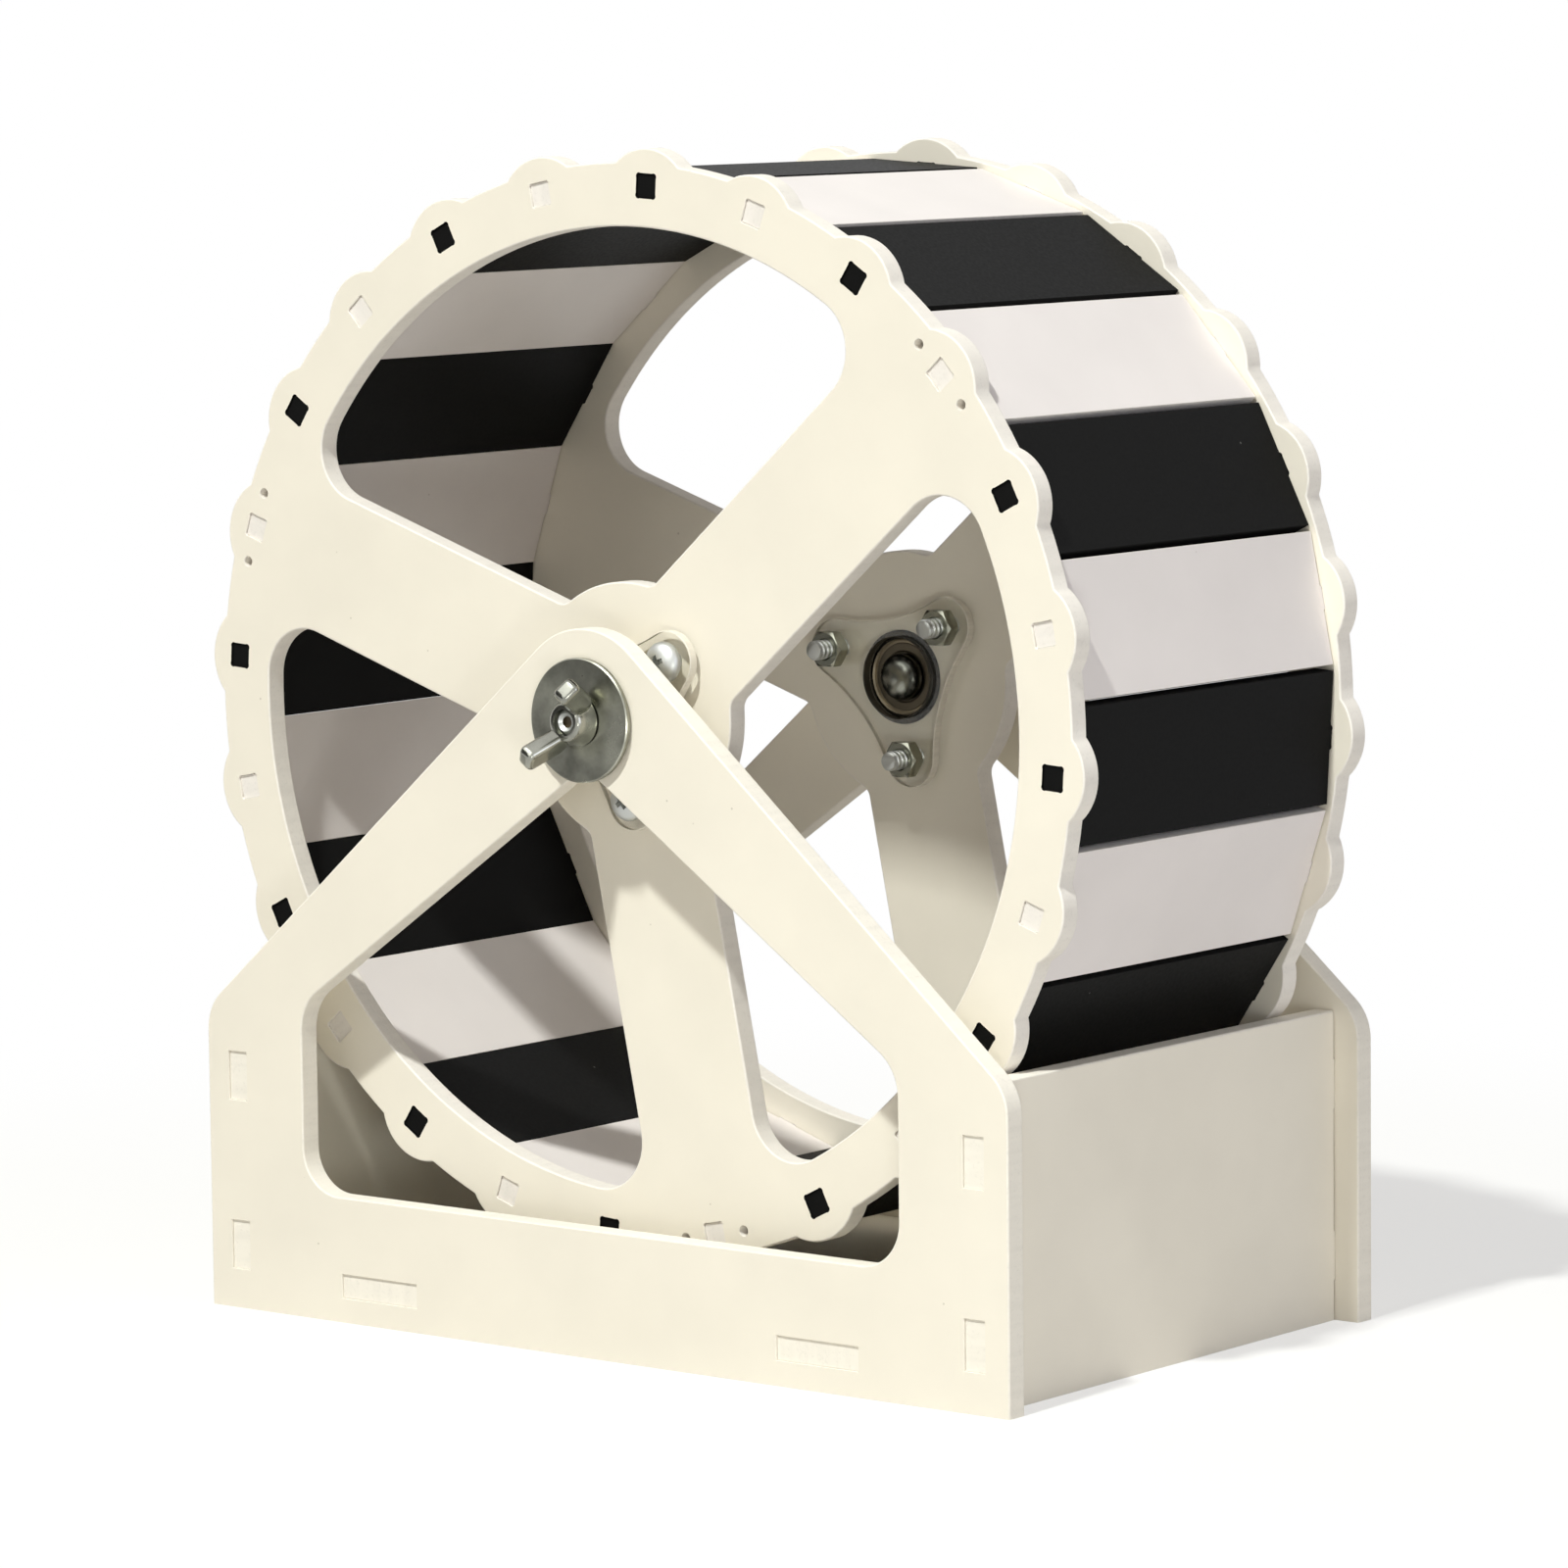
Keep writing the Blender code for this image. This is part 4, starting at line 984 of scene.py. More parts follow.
class HAMSTER_OT_frame_boards(bpy.types.Operator):
    """Make the five routed boards of the frame"""

    bl_idname = "hamster.frame_boards"
    bl_label = "Frame Boards"

    def execute(self, context):
        s = sizes("frame")
        tone = sizes("finishes")
        finishes = board_finish("frame")
        made = []
        for node in ("front_panel", "rear_panel"):
            place = facing(middle(node).y, z=0)
            made.append((node, end_panel_board(), place, on_panel_slot))
        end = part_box("right_side_panel")[1]
        inner = middle("rear_panel").y - s.board / 2 - sizes("wheel").seat_gap

        def on_end(point):
            return abs(point.x) > inner - MERGE or abs(point.y) < MERGE

        for node in ("left_side_panel", "right_side_panel"):
            bm = bmesh.new()
            draw_tabbed(bm, inner, 0, end.z, end.y, side_tab_heights(), s.side_tab)
            place = Matrix.Translation((middle(node).x, 0, 0)) @ Matrix.Rotation(math.pi / 2, 4, "Z")
            made.append((node, bm, place @ Matrix.Rotation(math.pi / 2, 4, "X"), on_end))
        floor = bmesh.new()
        half = extent("floor_panel").x / 2
        tabs = (-s.floor_tab_spread / 2, s.floor_tab_spread / 2)
        draw_tabbed(floor, inner, -half, half, end.y, tabs, s.floor_tab)
        place = Matrix.Translation((0, 0, middle("floor_panel").z)) @ Matrix.Rotation(math.pi / 2, 4, "Z")
        made.append(("floor_panel", floor, place, on_end))
        for index, (node, bm, place, is_slot) in enumerate(made):
            fill_board(bm, s.board, tone.edge_rounding, tone.slot_rounding, is_slot)
            stand_for(node, "routed", bm, finishes, place, index * PIECE_SHIFT)
        return {"FINISHED"}


def draw_rim(bm, s):
    """The disc's outside: a scallop over every slot, joined by arcs of the rim circle."""
    rim = s.running_radius + s.board + s.rim_margin
    bump = s.tip_radius - s.scallop_radius
    half = math.acos((rim**2 + bump**2 - s.scallop_radius**2) / (2 * rim * bump))
    corner = polar(rim, half)
    sweep = math.atan2(corner.y, corner.x - bump)
    one = bmesh.new()
    pen = Pen(one)
    pen.line(corner.x, -corner.y)
    pen.swing(bump, 0, 2 * sweep)
    pen.swing(0, 0, 2 * math.pi / s.slat_count - 2 * half)
    repeat_into(bm, one, s.slat_count)


def draw_windows(bm, s):
    """The openings between the spokes: half of one is drawn, mirrored, and repeated round the hub."""
    rim = s.running_radius - s.rim_lip
    half_spoke = s.spoke_width / 2
    half_pitch = math.pi / s.spoke_count
    hub_y = half_spoke + s.hub_fillet
    hub_x = math.sqrt((s.hub_radius + s.hub_fillet) ** 2 - hub_y**2)
    hub_turn = math.atan2(hub_y, hub_x)
    rim_y = half_spoke + s.window_corner
    rim_x = math.sqrt((rim - s.window_corner) ** 2 - rim_y**2)
    rim_turn = math.atan2(rim_y, rim_x)
    one = bmesh.new()
    pen = Pen(one)
    pen.line(*polar(s.hub_radius, half_pitch))
    pen.swing(0, 0, hub_turn - half_pitch)
    pen.swing(hub_x, hub_y, math.pi / 2 - hub_turn)
    pen.line(rim_x, half_spoke)
    pen.swing(rim_x, rim_y, math.pi / 2 + rim_turn)
    pen.swing(0, 0, half_pitch - rim_turn)
    turn_flat(one, -half_pitch)
    bmesh.ops.mirror(one, geom=one.verts[:] + one.edges[:], matrix=Matrix.Identity(4), merge_dist=MERGE, axis="Y")
    turn_flat(one, half_pitch)
    repeat_into(bm, one, s.spoke_count)


def draw_slots(bm, s):
    """The slats' slots, each with a round relief bulging from every corner."""
    half_radial = s.board / 2 + s.tab_gap
    half_across = s.tab_width / 2 + s.tab_gap
    inset = s.relief_radius - s.relief_reach
    overlap = math.acos(inset / s.relief_radius)
    slat_middle = s.running_radius + s.board / 2
    one = bmesh.new()
    pen = Pen(one)
    for quarter, (i, j) in enumerate(((1, 1), (-1, 1), (-1, -1), (1, -1))):
        centre = Vector((slat_middle + i * (half_radial - inset), j * (half_across - inset)))
        pen.line(*(centre + polar(s.relief_radius, quarter * math.pi / 2 - overlap)))
        pen.swing(*centre, math.pi / 2 + 2 * overlap)
    pen.close()
    repeat_into(bm, one, s.slat_count)


def draw_hub_holes(bm, bolt_radius, bore_radius):
    """The bearing's bore, and the hub bolts' holes round it."""
    hardware = sizes("hardware")
    one = bmesh.new()
    draw_circle(one, (hardware.bolt_circle, 0), bolt_radius)
    repeat_into(bm, one, sizes("wheel").spoke_count)
    draw_circle(bm, (0, 0), bore_radius)


class HAMSTER_OT_discs(bpy.types.Operator):
    """Make the two scalloped, slotted discs of the wheel"""

    bl_idname = "hamster.discs"
    bl_label = "Discs"

    def execute(self, context):
        s, hardware, tone = sizes("wheel"), sizes("hardware"), sizes("finishes")
        finishes = board_finish("disc") + [finish("foam_pvc_black_cut")]  # the walls round the black slats' slots take the black cut finish

        def on_slot(point):
            away = point.length - s.running_radius
            return -s.rim_margin / 2 < away < s.board + s.rim_margin / 2 or point.length < s.hub_radius - HUB_MARGIN

        for index, end in enumerate((FRONT, REAR)):
            bm = bmesh.new()
            draw_rim(bm, s)
            draw_windows(bm, s)
            draw_slots(bm, s)
            draw_hub_holes(bm, hardware.hub_bolt + s.tab_gap, hardware.bearing_radius + s.tab_gap)
            pins = bmesh.new()
            for side in (-1, 1):
                draw_circle(pins, (s.running_radius + s.board / 2, side * s.pin_offset), s.pin_radius)
            repeat_into(bm, pins, s.spoke_count)
            turn_flat(bm, s.first_spoke)
            fill_board(bm, s.board, tone.edge_rounding, tone.slot_rounding, on_slot)
            for face in bm.faces:
                at = face.calc_center_median().xy
                slot = round((math.atan2(at.y, at.x) - s.first_spoke) * s.slat_count / (2 * math.pi))
                away = at.length - s.running_radius + s.relief_radius
                if face.material_index and 0 < away < s.board * SLOT_SPAN and slot % 2:
                    face.material_index = 2
            node = f"{end}_disc"
            stand_for(node, "routed", bm, finishes, facing(middle(node).y), index * PIECE_SHIFT)
        return {"FINISHED"}


class HAMSTER_OT_slats(bpy.types.Operator):
    """Make the white and black slats of the running surface"""

    bl_idname = "hamster.slats"
    bl_label = "Slats"

    def execute(self, context):
        s, tone = sizes("wheel"), sizes("finishes")
        pitch = 2 * math.pi / s.slat_count
        half_across = s.running_radius * math.tan(pitch / 2) - s.slat_joint / 2
        reach = extent("white_slat_01").y / 2
        shoulder = middle("rear_disc").y - s.board / 2 - s.seat_gap - WHEEL_Y

        def on_tab(point):
            return abs(point.x) > shoulder + MERGE and abs(point.y) > s.tab_width / 2 - MERGE

        for index in range(s.slat_count):
            number, black = divmod(index, 2)
            kind = "black" if black else "white"
            node = f"{kind}_slat_{number + 1:02d}"
            angle = s.first_spoke + index * pitch
            bm = bmesh.new()
            draw_tabbed(bm, shoulder, -half_across, half_across, reach, (0,), s.tab_width)
            fill_board(bm, s.board, tone.slat_rounding, tone.tab_rounding, on_tab)
            across, up = polar(s.running_radius + s.board / 2, angle)
            place = Matrix.Translation((across, WHEEL_Y, AXLE_HEIGHT + up))
            place = place @ Matrix.Rotation(math.pi / 2 - angle, 4, "Y") @ Matrix.Rotation(math.pi / 2, 4, "Z")
            stand_for(node, "cut", bm, board_finish(kind), place, index * PIECE_SHIFT)
        return {"FINISHED"}


# The hub

def draw_hub_plate(bm):
    """Three lobes round the hub bolts, joined by hollow sides that are tangent to them."""
    s, wheel = sizes("hardware"), sizes("wheel")
    half_pitch = math.pi / wheel.spoke_count
    lobe = polar(s.bolt_circle, half_pitch)
    pull = s.bearing_radius + s.plate_waist - s.lobe_radius
    hollow = (s.bolt_circle**2 - pull**2) / (2 * (lobe.x - pull))
    lean = math.atan2(lobe.y, hollow - lobe.x)
    one = bmesh.new()
    pen = Pen(one)
    pen.line(*(Vector((s.bolt_circle, 0)) + polar(s.lobe_radius, -half_pitch - lean)))
    pen.swing(s.bolt_circle, 0, 2 * (half_pitch + lean))
    pen.swing(*polar(hollow, half_pitch), -2 * lean)
    repeat_into(bm, one, wheel.spoke_count)


class HAMSTER_OT_hub_plates(bpy.types.Operator):
    """Make the clear plates that trap the bearings"""

    bl_idname = "hamster.hub_plates"
    bl_label = "Hub Plates"

    def execute(self, context):
        s, wheel = sizes("hardware"), sizes("wheel")
        finishes = [finish("acrylic_plate"), finish("acrylic_lasered_edge"), finish("acrylic_edge_over_steel")]
        for index, (end, side) in enumerate((e, i) for e in (FRONT, REAR) for i in ("outer", "inner")):
            node = f"{end}_{side}_hub_plate"
            bm = bmesh.new()
            draw_hub_plate(bm)
            draw_hub_holes(bm, s.hub_bolt + wheel.tab_gap, s.bearing_radius - s.plate_lip)
            turn_flat(bm, wheel.first_spoke)
            fill_board(bm, s.plate_thickness, sizes("finishes").plate_rounding)
            # Edges round the bearing take the dark tone painted in for the steel that shows through them
            for face in bm.faces:
                if face.material_index and face.calc_center_median().xy.length < s.bearing_radius:
                    face.material_index = 2
            stand_for(node, "lasered", bm, finishes, facing(middle(node).y), index * PIECE_SHIFT)
        return {"FINISHED"}


class HAMSTER_OT_bearings(bpy.types.Operator):
    """Make the rings and shields of the two ball bearings"""

    bl_idname = "hamster.bearings"
    bl_label = "Bearings"

    def execute(self, context):
        s = sizes("hardware")
        chamfer, groove = s.ring_chamfer, s.ring_chamfer / 2
        land = s.bearing_radius - s.ring_wall
        inner = s.bearing_bore + s.ring_wall
        shield = inner + s.shield_gap
        finishes = [finish("ground_ring_steel"), finish("pressed_shield_steel"), finish("crimped_shield_rim")]
        for end in (FRONT, REAR):
            node = f"{end}_bearing_outer_ring"
            place = facing(middle(node).y)
            half = extent(node).y / 2
            sunk = half - s.shield_recess
            section = [
                (s.bearing_radius, half - chamfer),
                (s.bearing_radius - chamfer, half),
                (land + 2 * groove, half),
                (land, half - 2 * groove),
                (land, sunk - groove),
                (land - 3 * groove, sunk - groove),
                (land - 4 * groove, sunk),
                (shield + 3 * groove, sunk),
                (shield + groove, sunk - groove),
                (shield, sunk - groove),
            ]
            bm = turned_ring(section, RING_STEPS)
            smooth_metal(bm, RING_CREASE)
            # Faces take the shield's finish, then the painted highlight round its rim and the ring's chamfer, then the
            # ring's
            for face in bm.faces:
                reach = face.calc_center_median().xy.length
                face.material_index = 1 if reach < land - 3 * groove else 2 if reach < land + 2 * groove else 0
            stand_for(node, "ground", bm, finishes, place)
            bm = chamfered_ring(inner, s.bearing_bore, half, chamfer, RING_STEPS)
            smooth_metal(bm, RING_CREASE)
            stand_for(f"{end}_bearing_inner_ring", "ground", bm, finishes[:1], place)
        return {"FINISHED"}


def domed_head(radius, rise, rim, steps):
    """A bolt's domed head, with its seat at zero."""
    bm = bmesh.new()
    pen = Pen(bm)
    pen.line(0, radius)
    pen.swing(0, 0, -math.pi / 2)
    bmesh.ops.scale(bm, verts=bm.verts, vec=(1, (rise - rim) / radius, 1))
    bmesh.ops.translate(bm, verts=bm.verts, vec=(0, rim, 0))
    under = rim / 3
    pen.line(radius, under)
    pen.line(radius - under, 0)
    pen.line(0, 0)
    raise_profile(bm, steps)
    return bm


def cross_recess(s):
    """A cutter for the cross recess in a hub bolt's head: two crossed bars that taper towards the bottom."""
    bars = []
    for angle in (0, math.pi / 2):
        bar = bmesh.new()
        bmesh.ops.create_cube(bar, size=1)
        bmesh.ops.scale(bar, verts=bar.verts, vec=(2 * s.recess_reach, s.recess_width, 2 * s.recess_depth))
        bmesh.ops.scale(bar, verts=[vert for vert in bar.verts if vert.co.z < 0], vec=RECESS_TAPER)
        bmesh.ops.translate(bar, verts=bar.verts, vec=(0, 0, s.hub_head_rise))
        turn_flat(bar, angle)
        bars.append(bar)
    return combined("recess", bars[0], [("UNION", bars[1])])


def hollow(s, level):
    """A cutter for the hollow in an axle bolt's end, which looks down from the level: a bore with a flared mouth."""
    flare = s.hollow_mouth - s.hollow_radius
    bm = bmesh.new()
    draw_profile(bm, [
        (0, level - flare),
        (s.hollow_mouth + flare, level - flare),
        (s.hollow_radius, level + flare),
        (s.hollow_radius, level + s.hollow_depth),
        (0, level + s.hollow_depth),
    ])
    raise_profile(bm, HOLLOW_STEPS)
    return bm


def hub_nut(s):
    """A hexagon nut with chamfered corners: a turned blank, cut off at its six flats."""
    half = extent("front_hub_nut_1").y / 2
    flat = s.nut_width / 2
    corner = flat / math.cos(math.pi / 6)
    face = flat * NUT_FACE
    fall = (corner - face) * math.tan(math.pi / 6)
    bore = s.hub_bolt * NUT_BORE
    lead = bore * NUT_LEAD
    bm = turned_ring([(corner, half - fall), (face, half), (bore + lead, half), (bore, half - lead)], RING_STEPS)
    for side in range(6):
        normal = polar(1, (side + 0.5) * math.pi / 3)
        everything = bm.verts[:] + bm.edges[:] + bm.faces[:]
        cut = bmesh.ops.bisect_plane(
            bm,
            geom=everything,
            dist=MERGE,
            plane_co=(*(normal * flat), 0),
            plane_no=(*normal, 0),
            clear_outer=True,
        )
        edges = [item for item in cut["geom_cut"] if isinstance(item, bmesh.types.BMEdge)]
        bmesh.ops.contextual_create(bm, geom=edges)
    bmesh.ops.recalc_face_normals(bm, faces=bm.faces)
    smooth_metal(bm, RING_CREASE)
    return bm


class HAMSTER_OT_hub_bolts(bpy.types.Operator):
    """Make the hub bolts and their nuts"""

    bl_idname = "hamster.hub_bolts"
    bl_label = "Hub Bolts"

    def execute(self, context):
        s, wheel = sizes("hardware"), sizes("wheel")
        finishes, nut_finishes = [finish("zinc_plated_steel")], [finish("zinc_plated_nut")]
        for end in (FRONT, REAR):
            outward = end_sign(end)
            for index in range(wheel.spoke_count):
                across, up = polar(s.bolt_circle, wheel.first_spoke + index * 2 * math.pi / wheel.spoke_count)
                node = f"{end}_hub_bolt_{index + 1}"
                low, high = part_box(node)
                seat = (low.y if outward < 0 else high.y) - outward * s.hub_head_rise
                shank = extent(node).y - s.hub_head_rise
                head = domed_head(s.hub_head, s.hub_head_rise, s.hub_head_rim, HUB_HEAD_STEPS)
                bm = combined(node, head, [("DIFFERENCE", cross_recess(s))])
                smooth_metal(bm)
                join_into(bm, thread(s.hub_bolt, s.hub_pitch, -shank, SHANK_SUNK, s.hub_chamfer, HUB_THREAD_STEPS))
                place = facing(seat, outward, across, AXLE_HEIGHT + up, FIRST_RECESS + index * RECESS_TURN)
                stand_for(node, "plated", bm, finishes, place, index * PIECE_SHIFT)
                node = f"{end}_hub_nut_{index + 1}"
                place = facing(middle(node).y, outward, across, AXLE_HEIGHT + up)
                stand_for(node, "plated", hub_nut(s), nut_finishes, place, index * PIECE_SHIFT)
        return {"FINISHED"}


class HAMSTER_OT_axle_fittings(bpy.types.Operator):
    """Make the axle bolts, spacers and washers"""

    bl_idname = "hamster.axle_fittings"
    bl_label = "Axle Fittings"

    def execute(self, context):
        s = sizes("hardware")
        plated, turned = finish("zinc_plated_steel"), finish("zinc_turned_washer")
        bolt_finishes = [plated, finish("worn_axle_steel"), finish("pressed_shield_steel")]
        for index, end in enumerate((FRONT, REAR)):
            outward = end_sign(end)
            node = f"{end}_axle_bolt"
            low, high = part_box(node)
            inner = high.y if outward < 0 else low.y
            shank = high.y - low.y - s.axle_head_rise
            bm = domed_head(s.axle_head, s.axle_head_rise, s.axle_head_rim, AXLE_HEAD_STEPS)
            smooth_metal(bm)
            for face in bm.faces:
                face.material_index = 1
            shaft = thread(s.axle, s.axle_pitch, -shank, SHANK_SUNK, s.axle_chamfer, AXLE_THREAD_STEPS)
            shaft = combined(f"{end}_axle", shaft, [("DIFFERENCE", hollow(s, -shank))])
            smooth_metal(shaft)
            # Inside the hollow the darker brown shield finish paints in the shade of the recess
            for face in shaft.faces:
                at = face.calc_center_median()
                face.material_index = 2 if at.xy.length < s.hollow_radius + NEAR and at.z > NEAR - shank else 0
            join_into(bm, shaft)
            place = facing(inner + outward * s.axle_head_rise, -outward)
            stand_for(node, "plated", bm, bolt_finishes, place, index * PIECE_SHIFT)
            for kind, material in (("spacer", plated), ("washer", turned)):
                node = f"{end}_{kind}"
                size = extent(node)
                bm = chamfered_ring(size.x / 2, s.bearing_bore, size.y / 2, s.washer_chamfer, WASHER_STEPS)
                smooth_metal(bm)
                place = facing(middle(node).y, outward)
                stand_for(node, "plated", bm, [material], place, index * PIECE_SHIFT)
        return {"FINISHED"}


def wing_nut_blank(s):
    """A cast wing nut: tapered body and two thick wings, with the bore through it."""
    rise = math.tan(s.wing_lean)
    tip = s.wing_span / 2
    outer = (tip, s.wing_height - s.wing_width * math.cos(s.wing_lean))
    inner = (tip - s.wing_width * math.sin(s.wing_lean), s.wing_height)
    crotch_height = s.nut_body - s.nut_foot
    foot = (outer[0] - (outer[1] - s.wing_foot) / rise, s.wing_foot)
    crotch = (inner[0] - (inner[1] - crotch_height) / rise, crotch_height)
    wings = bmesh.new()
    draw_rounded(wings, both_sides([
        (*foot, s.wing_foot_corner),
        (*outer, s.wing_corner),
        (*inner, s.wing_corner),
        (*crotch, 0),
    ]))
    fill_board(wings, s.wing_thickness, s.wing_rounding)
    stand_up(wings)
    body = bmesh.new()
    crown = [(s.nut_top - across, s.nut_body - down) for across, down in CROWN]
    draw_profile(body, [(0, s.nut_body), *crown, (s.nut_base, s.nut_foot), (s.nut_base, 0), (0, 0)])
    raise_profile(body, WING_NUT_STEPS)
    bore = bmesh.new()
    bmesh.ops.create_cone(
        bore, cap_ends=True, segments=HOLLOW_STEPS, radius1=s.bearing_bore, radius2=s.bearing_bore, depth=4 * s.nut_body
    )
    return combined("wing_nut", wings, [("UNION", body), ("DIFFERENCE", bore)])


class HAMSTER_OT_wing_nuts(bpy.types.Operator):
    """Make the two wing nuts"""

    bl_idname = "hamster.wing_nuts"
    bl_label = "Wing Nuts"

    def execute(self, context):
        s = sizes("hardware")
        finishes = [finish("zinc_cast_wing_nut")]
        for index, end in enumerate((FRONT, REAR)):
            node = f"{end}_wing_nut"
            outward = end_sign(end)
            low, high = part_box(node)
            seat = high.y if outward < 0 else low.y
            bm = wing_nut_blank(s)
            smooth_metal(bm, CAST_CREASE)
            place = facing(seat, outward, spin=-outward * s.wing_angle)
            stand_for(node, "cast", bm, finishes, place, index * PIECE_SHIFT)
        return {"FINISHED"}


# The stage

def direction(azimuth, elevation):
    """The way from the object to a place round it, with the azimuth to the right of the front."""
    return Vector((
        math.sin(azimuth) * math.cos(elevation),
        -math.cos(azimuth) * math.cos(elevation),
        math.sin(elevation),
    ))


def place_round(obj, aim, azimuth, elevation, distance, roll=0):
    """Places an object round a point that it looks at, along its own -Z."""
    way = direction(azimuth, elevation)
    look = way.to_track_quat("Z", "Y").to_matrix() @ Matrix.Rotation(roll, 3, "Z")
    obj.location = aim + way * distance
    obj.rotation_euler = look.to_euler()


def lamp(name, azimuth, elevation, distance, width, level, tint="#FBFDF8", matt=True, gloss=True):
    """A soft square lamp that gives a white surface facing it the brightness level; matt or gloss may be left out."""
    data = bpy.data.lights.new(name, "AREA")
    data.size = width
    data.energy = math.pi**2 * level * distance**2
    data.color = linear(tint)
    obj = new_object(name, data)
    obj.visible_camera = False
    obj.visible_diffuse = matt
    obj.visible_glossy = gloss
    place_round(obj, Vector((0, 0, sizes("stage").aim_height)), azimuth, elevation, distance)


def card(name, azimuth, elevation, distance, width, height, dark, light):
    """A grey card that faces the object and only shines back in the metal, as studio cards do."""
    material, tree, shader = new_material(name)
    place = add(tree, "ShaderNodeTexCoord").outputs["Object"]
    cloud = add(tree, "ShaderNodeTexNoise", {"Vector": place, "Scale": 2.5, "Detail": 1.0}).outputs["Fac"]
    tone = add(tree, "ShaderNodeValToRGB", {"Fac": cloud}, [(0.3, [dark] * 3), (0.7, [light] * 3)])
    set_inputs(tree, shader, {"Base Color": tone.outputs["Color"], "Roughness": 0.9})
    bm = bmesh.new()
    bmesh.ops.create_grid(bm, x_segments=1, y_segments=1, size=0.5)
    bmesh.ops.scale(bm, verts=bm.verts, vec=(width, height, 1))
    way = direction(azimuth, elevation)
    aim = Vector((0, 0, sizes("stage").aim_height))
    bm.transform(Matrix.Translation(aim + way * distance) @ way.to_track_quat("Z", "Y").to_matrix().to_4x4())
    mesh = mesh_from(bm, name)
    mesh.materials.append(material)
    obj = new_object(name, mesh)
    obj.visible_camera = obj.visible_diffuse = obj.visible_transmission = obj.visible_shadow = False


TABLE = linear("#FAFAF9")
TABLE_GLOW = linear("#C2BFBB")  # the table as the pieces' undersides see it


def background_rays(tree):
    """One for the rays that see the white background: the camera's, and those from gloss and glass."""
    ray = add(tree, "ShaderNodeLightPath")
    seen = ray.outputs["Is Camera Ray"]
    for other in ("Is Glossy Ray", "Is Transmission Ray"):
        seen = add(tree, "ShaderNodeMath", {0: seen, 1: ray.outputs[other]}, operation="MAXIMUM").outputs["Value"]
    return ray, seen


def floor_material():
    """A matt white table, which fades into the white background before its far edge."""
    stage = sizes("stage")
    material = bpy.data.materials.new("matt_white_table")
    material.use_nodes = True
    tree = material.node_tree
    tree.nodes.clear()
    ray, white_rays = background_rays(tree)
    place = add(tree, "ShaderNodeTexCoord").outputs["Object"]
    away = add(tree, "ShaderNodeVectorMath", {0: place}, operation="LENGTH")
    fade = add(
        tree,
        "ShaderNodeMapRange",
        {
            "Value": away.outputs["Value"],
            "From Min": stage.fade_start,
            "From Max": stage.fade_end,
            "To Min": stage.fade_least,
        },
        interpolation_type="SMOOTHSTEP",
    )
    seen = add(
        tree,
        "ShaderNodeMath",
        {0: fade.outputs["Result"], 1: white_rays},
        operation="MULTIPLY",
    )
    tone = add(
        tree,
        "ShaderNodeMix",
        {"Factor": ray.outputs["Is Diffuse Ray"], "A": (*TABLE, 1), "B": (*TABLE_GLOW, 1)},
        data_type="RGBA",
    )
    table = add(tree, "ShaderNodeBsdfDiffuse", {"Color": tone.outputs["Result"]})
    white = add(tree, "ShaderNodeEmission", {"Color": (1, 1, 1, 1), "Strength": 1.0})
    mixed = add(
        tree,
        "ShaderNodeMixShader",
        {0: seen.outputs["Value"], 1: table.outputs["BSDF"], 2: white.outputs["Emission"]},
    )
    add(tree, "ShaderNodeOutputMaterial", {"Surface": mixed.outputs["Shader"]})
    return material


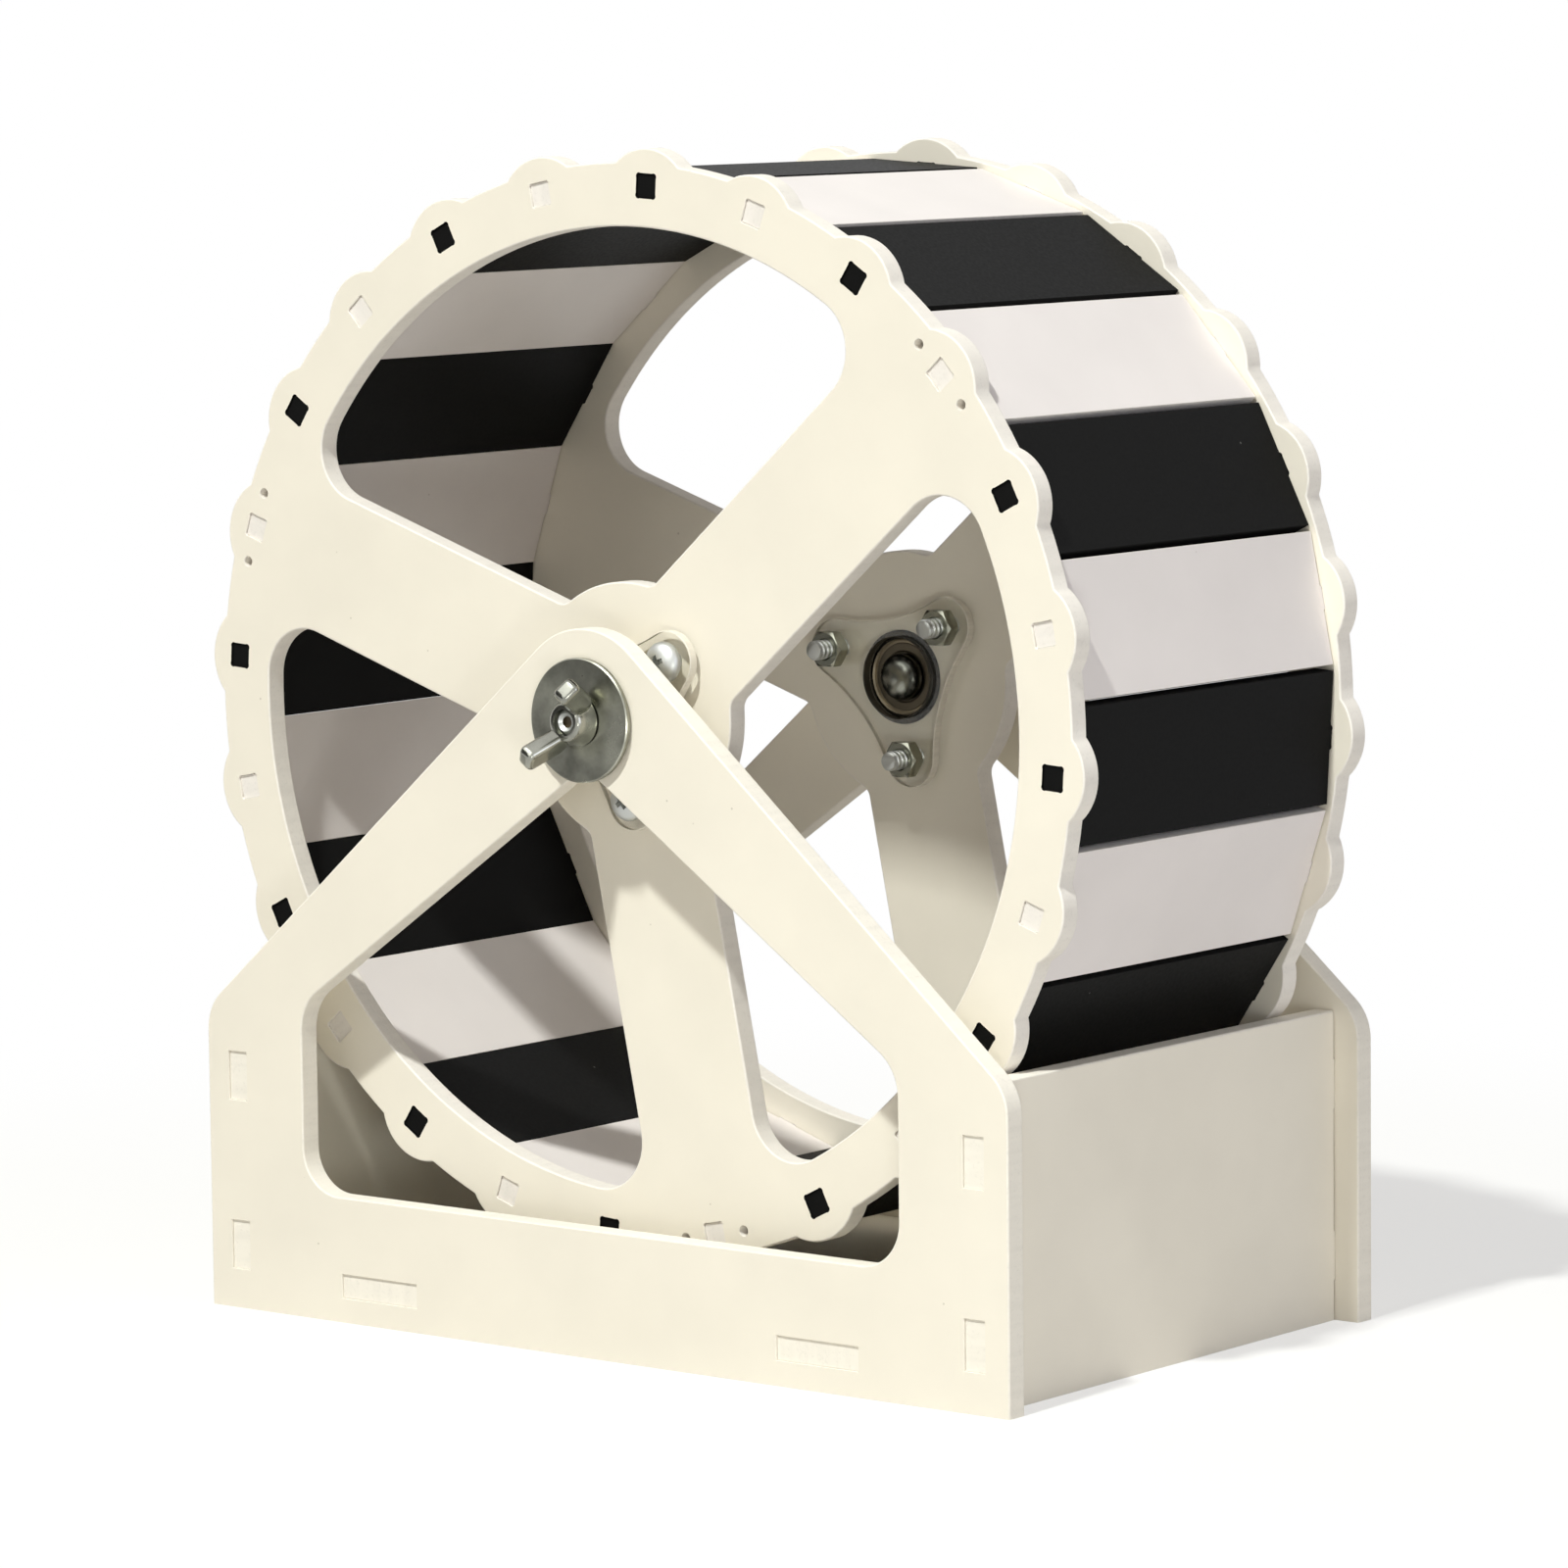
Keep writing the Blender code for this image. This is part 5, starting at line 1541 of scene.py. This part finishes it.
class HAMSTER_OT_stage(bpy.types.Operator):
    """Make the table, the lamps, the background and the camera"""

    bl_idname = "hamster.stage"
    bl_label = "Stage"

    def execute(self, context):
        scene = context.scene
        stage = sizes("stage")
        bm = bmesh.new()
        bmesh.ops.create_grid(bm, x_segments=1, y_segments=1, size=stage.floor_size / 2)
        mesh = mesh_from(bm, "table")
        mesh.materials.append(floor_material())
        new_object("table", mesh)

        world = bpy.data.worlds.new("studio")
        scene.world = world
        world.use_nodes = True
        tree = world.node_tree
        tree.nodes.clear()
        seen = background_rays(tree)[1]
        walls = (*scaled(stage.ambient_tint, stage.ambient), 1)
        shade = add(tree, "ShaderNodeMix", {"Factor": seen, "A": walls, "B": (1, 1, 1, 1)}, data_type="RGBA")
        light = add(tree, "ShaderNodeBackground", {"Color": shade.outputs["Result"]})
        add(tree, "ShaderNodeOutputWorld", {"Surface": light.outputs["Background"]})

        # Azimuth, elevation, distance and width of each lamp
        lamp("key", stage.key_azimuth, stage.key_elevation, 3.2, stage.key_size, stage.key)
        lamp("fill", math.radians(44), math.radians(-8), 0.5, 0.07, stage.fill)
        lamp("side", math.radians(85), math.radians(10), 1.2, 0.6, stage.side, "#E6ECFF")
        lamp("back", math.radians(222), math.radians(9), 1.6, 0.7, stage.back, gloss=False)
        lamp("gleam", math.radians(-6), math.radians(42), 1.6, 1.8, stage.gleam, matt=False)
        # Azimuth, elevation, distance, width, height and greys of each card
        card("dark_card", math.radians(-40), math.radians(12), 0.75, 0.85, 0.55, 0.04, 0.20)
        card("low_grey_card", math.radians(-90), math.radians(-24), 0.22, 0.40, 0.09, 0.60, 0.80)

        data = bpy.data.cameras.new("camera")
        data.lens = stage.lens
        camera = new_object("camera", data)
        aim = Vector((stage.aim_x, stage.aim_y, stage.aim_height))
        place_round(camera, aim, stage.azimuth, stage.elevation, stage.distance, stage.roll)
        scene.camera = camera
        scene.view_settings.view_transform = "Standard"
        return {"FINISHED"}


GROUPS = {
    "wheel": WheelSizes,
    "frame": FrameSizes,
    "hardware": HardwareSizes,
    "finishes": Finishes,
    "stage": StageSizes,
}
OPERATORS = (
    HAMSTER_OT_stage,
    HAMSTER_OT_frame_boards,
    HAMSTER_OT_discs,
    HAMSTER_OT_slats,
    HAMSTER_OT_hub_plates,
    HAMSTER_OT_bearings,
    HAMSTER_OT_hub_bolts,
    HAMSTER_OT_axle_fittings,
    HAMSTER_OT_wing_nuts,
)


class HAMSTER_PT_panel(bpy.types.Panel):
    """The wheel's sizes, finishes and making steps"""

    bl_idname = "HAMSTER_PT_panel"
    bl_label = "Hamster Wheel"
    bl_space_type = "VIEW_3D"
    bl_region_type = "UI"
    bl_category = "Hamster Wheel"

    def draw(self, context):
        for operator in OPERATORS:
            self.layout.operator(operator.bl_idname)
        for name in GROUPS:
            box = self.layout.box()
            box.label(text=name.capitalize())
            group = sizes(name)
            for key in group.bl_rna.properties.keys():
                if key not in ("rna_type", "name"):
                    box.prop(group, key)


def register():
    for group in GROUPS.values():
        bpy.utils.register_class(group)
    for name, group in GROUPS.items():
        setattr(bpy.types.Scene, "hamster_" + name, PointerProperty(type=group))
    for operator in (*OPERATORS, HAMSTER_PT_panel):
        bpy.utils.register_class(operator)


def unregister():
    for operator in (HAMSTER_PT_panel, *reversed(OPERATORS)):
        bpy.utils.unregister_class(operator)
    for name, group in GROUPS.items():
        delattr(bpy.types.Scene, "hamster_" + name)
        bpy.utils.unregister_class(group)


def main():
    register()
    for operator in OPERATORS:
        family, name = operator.bl_idname.split(".")
        getattr(getattr(bpy.ops, family), name)()


if __name__ == "__main__":
    main()
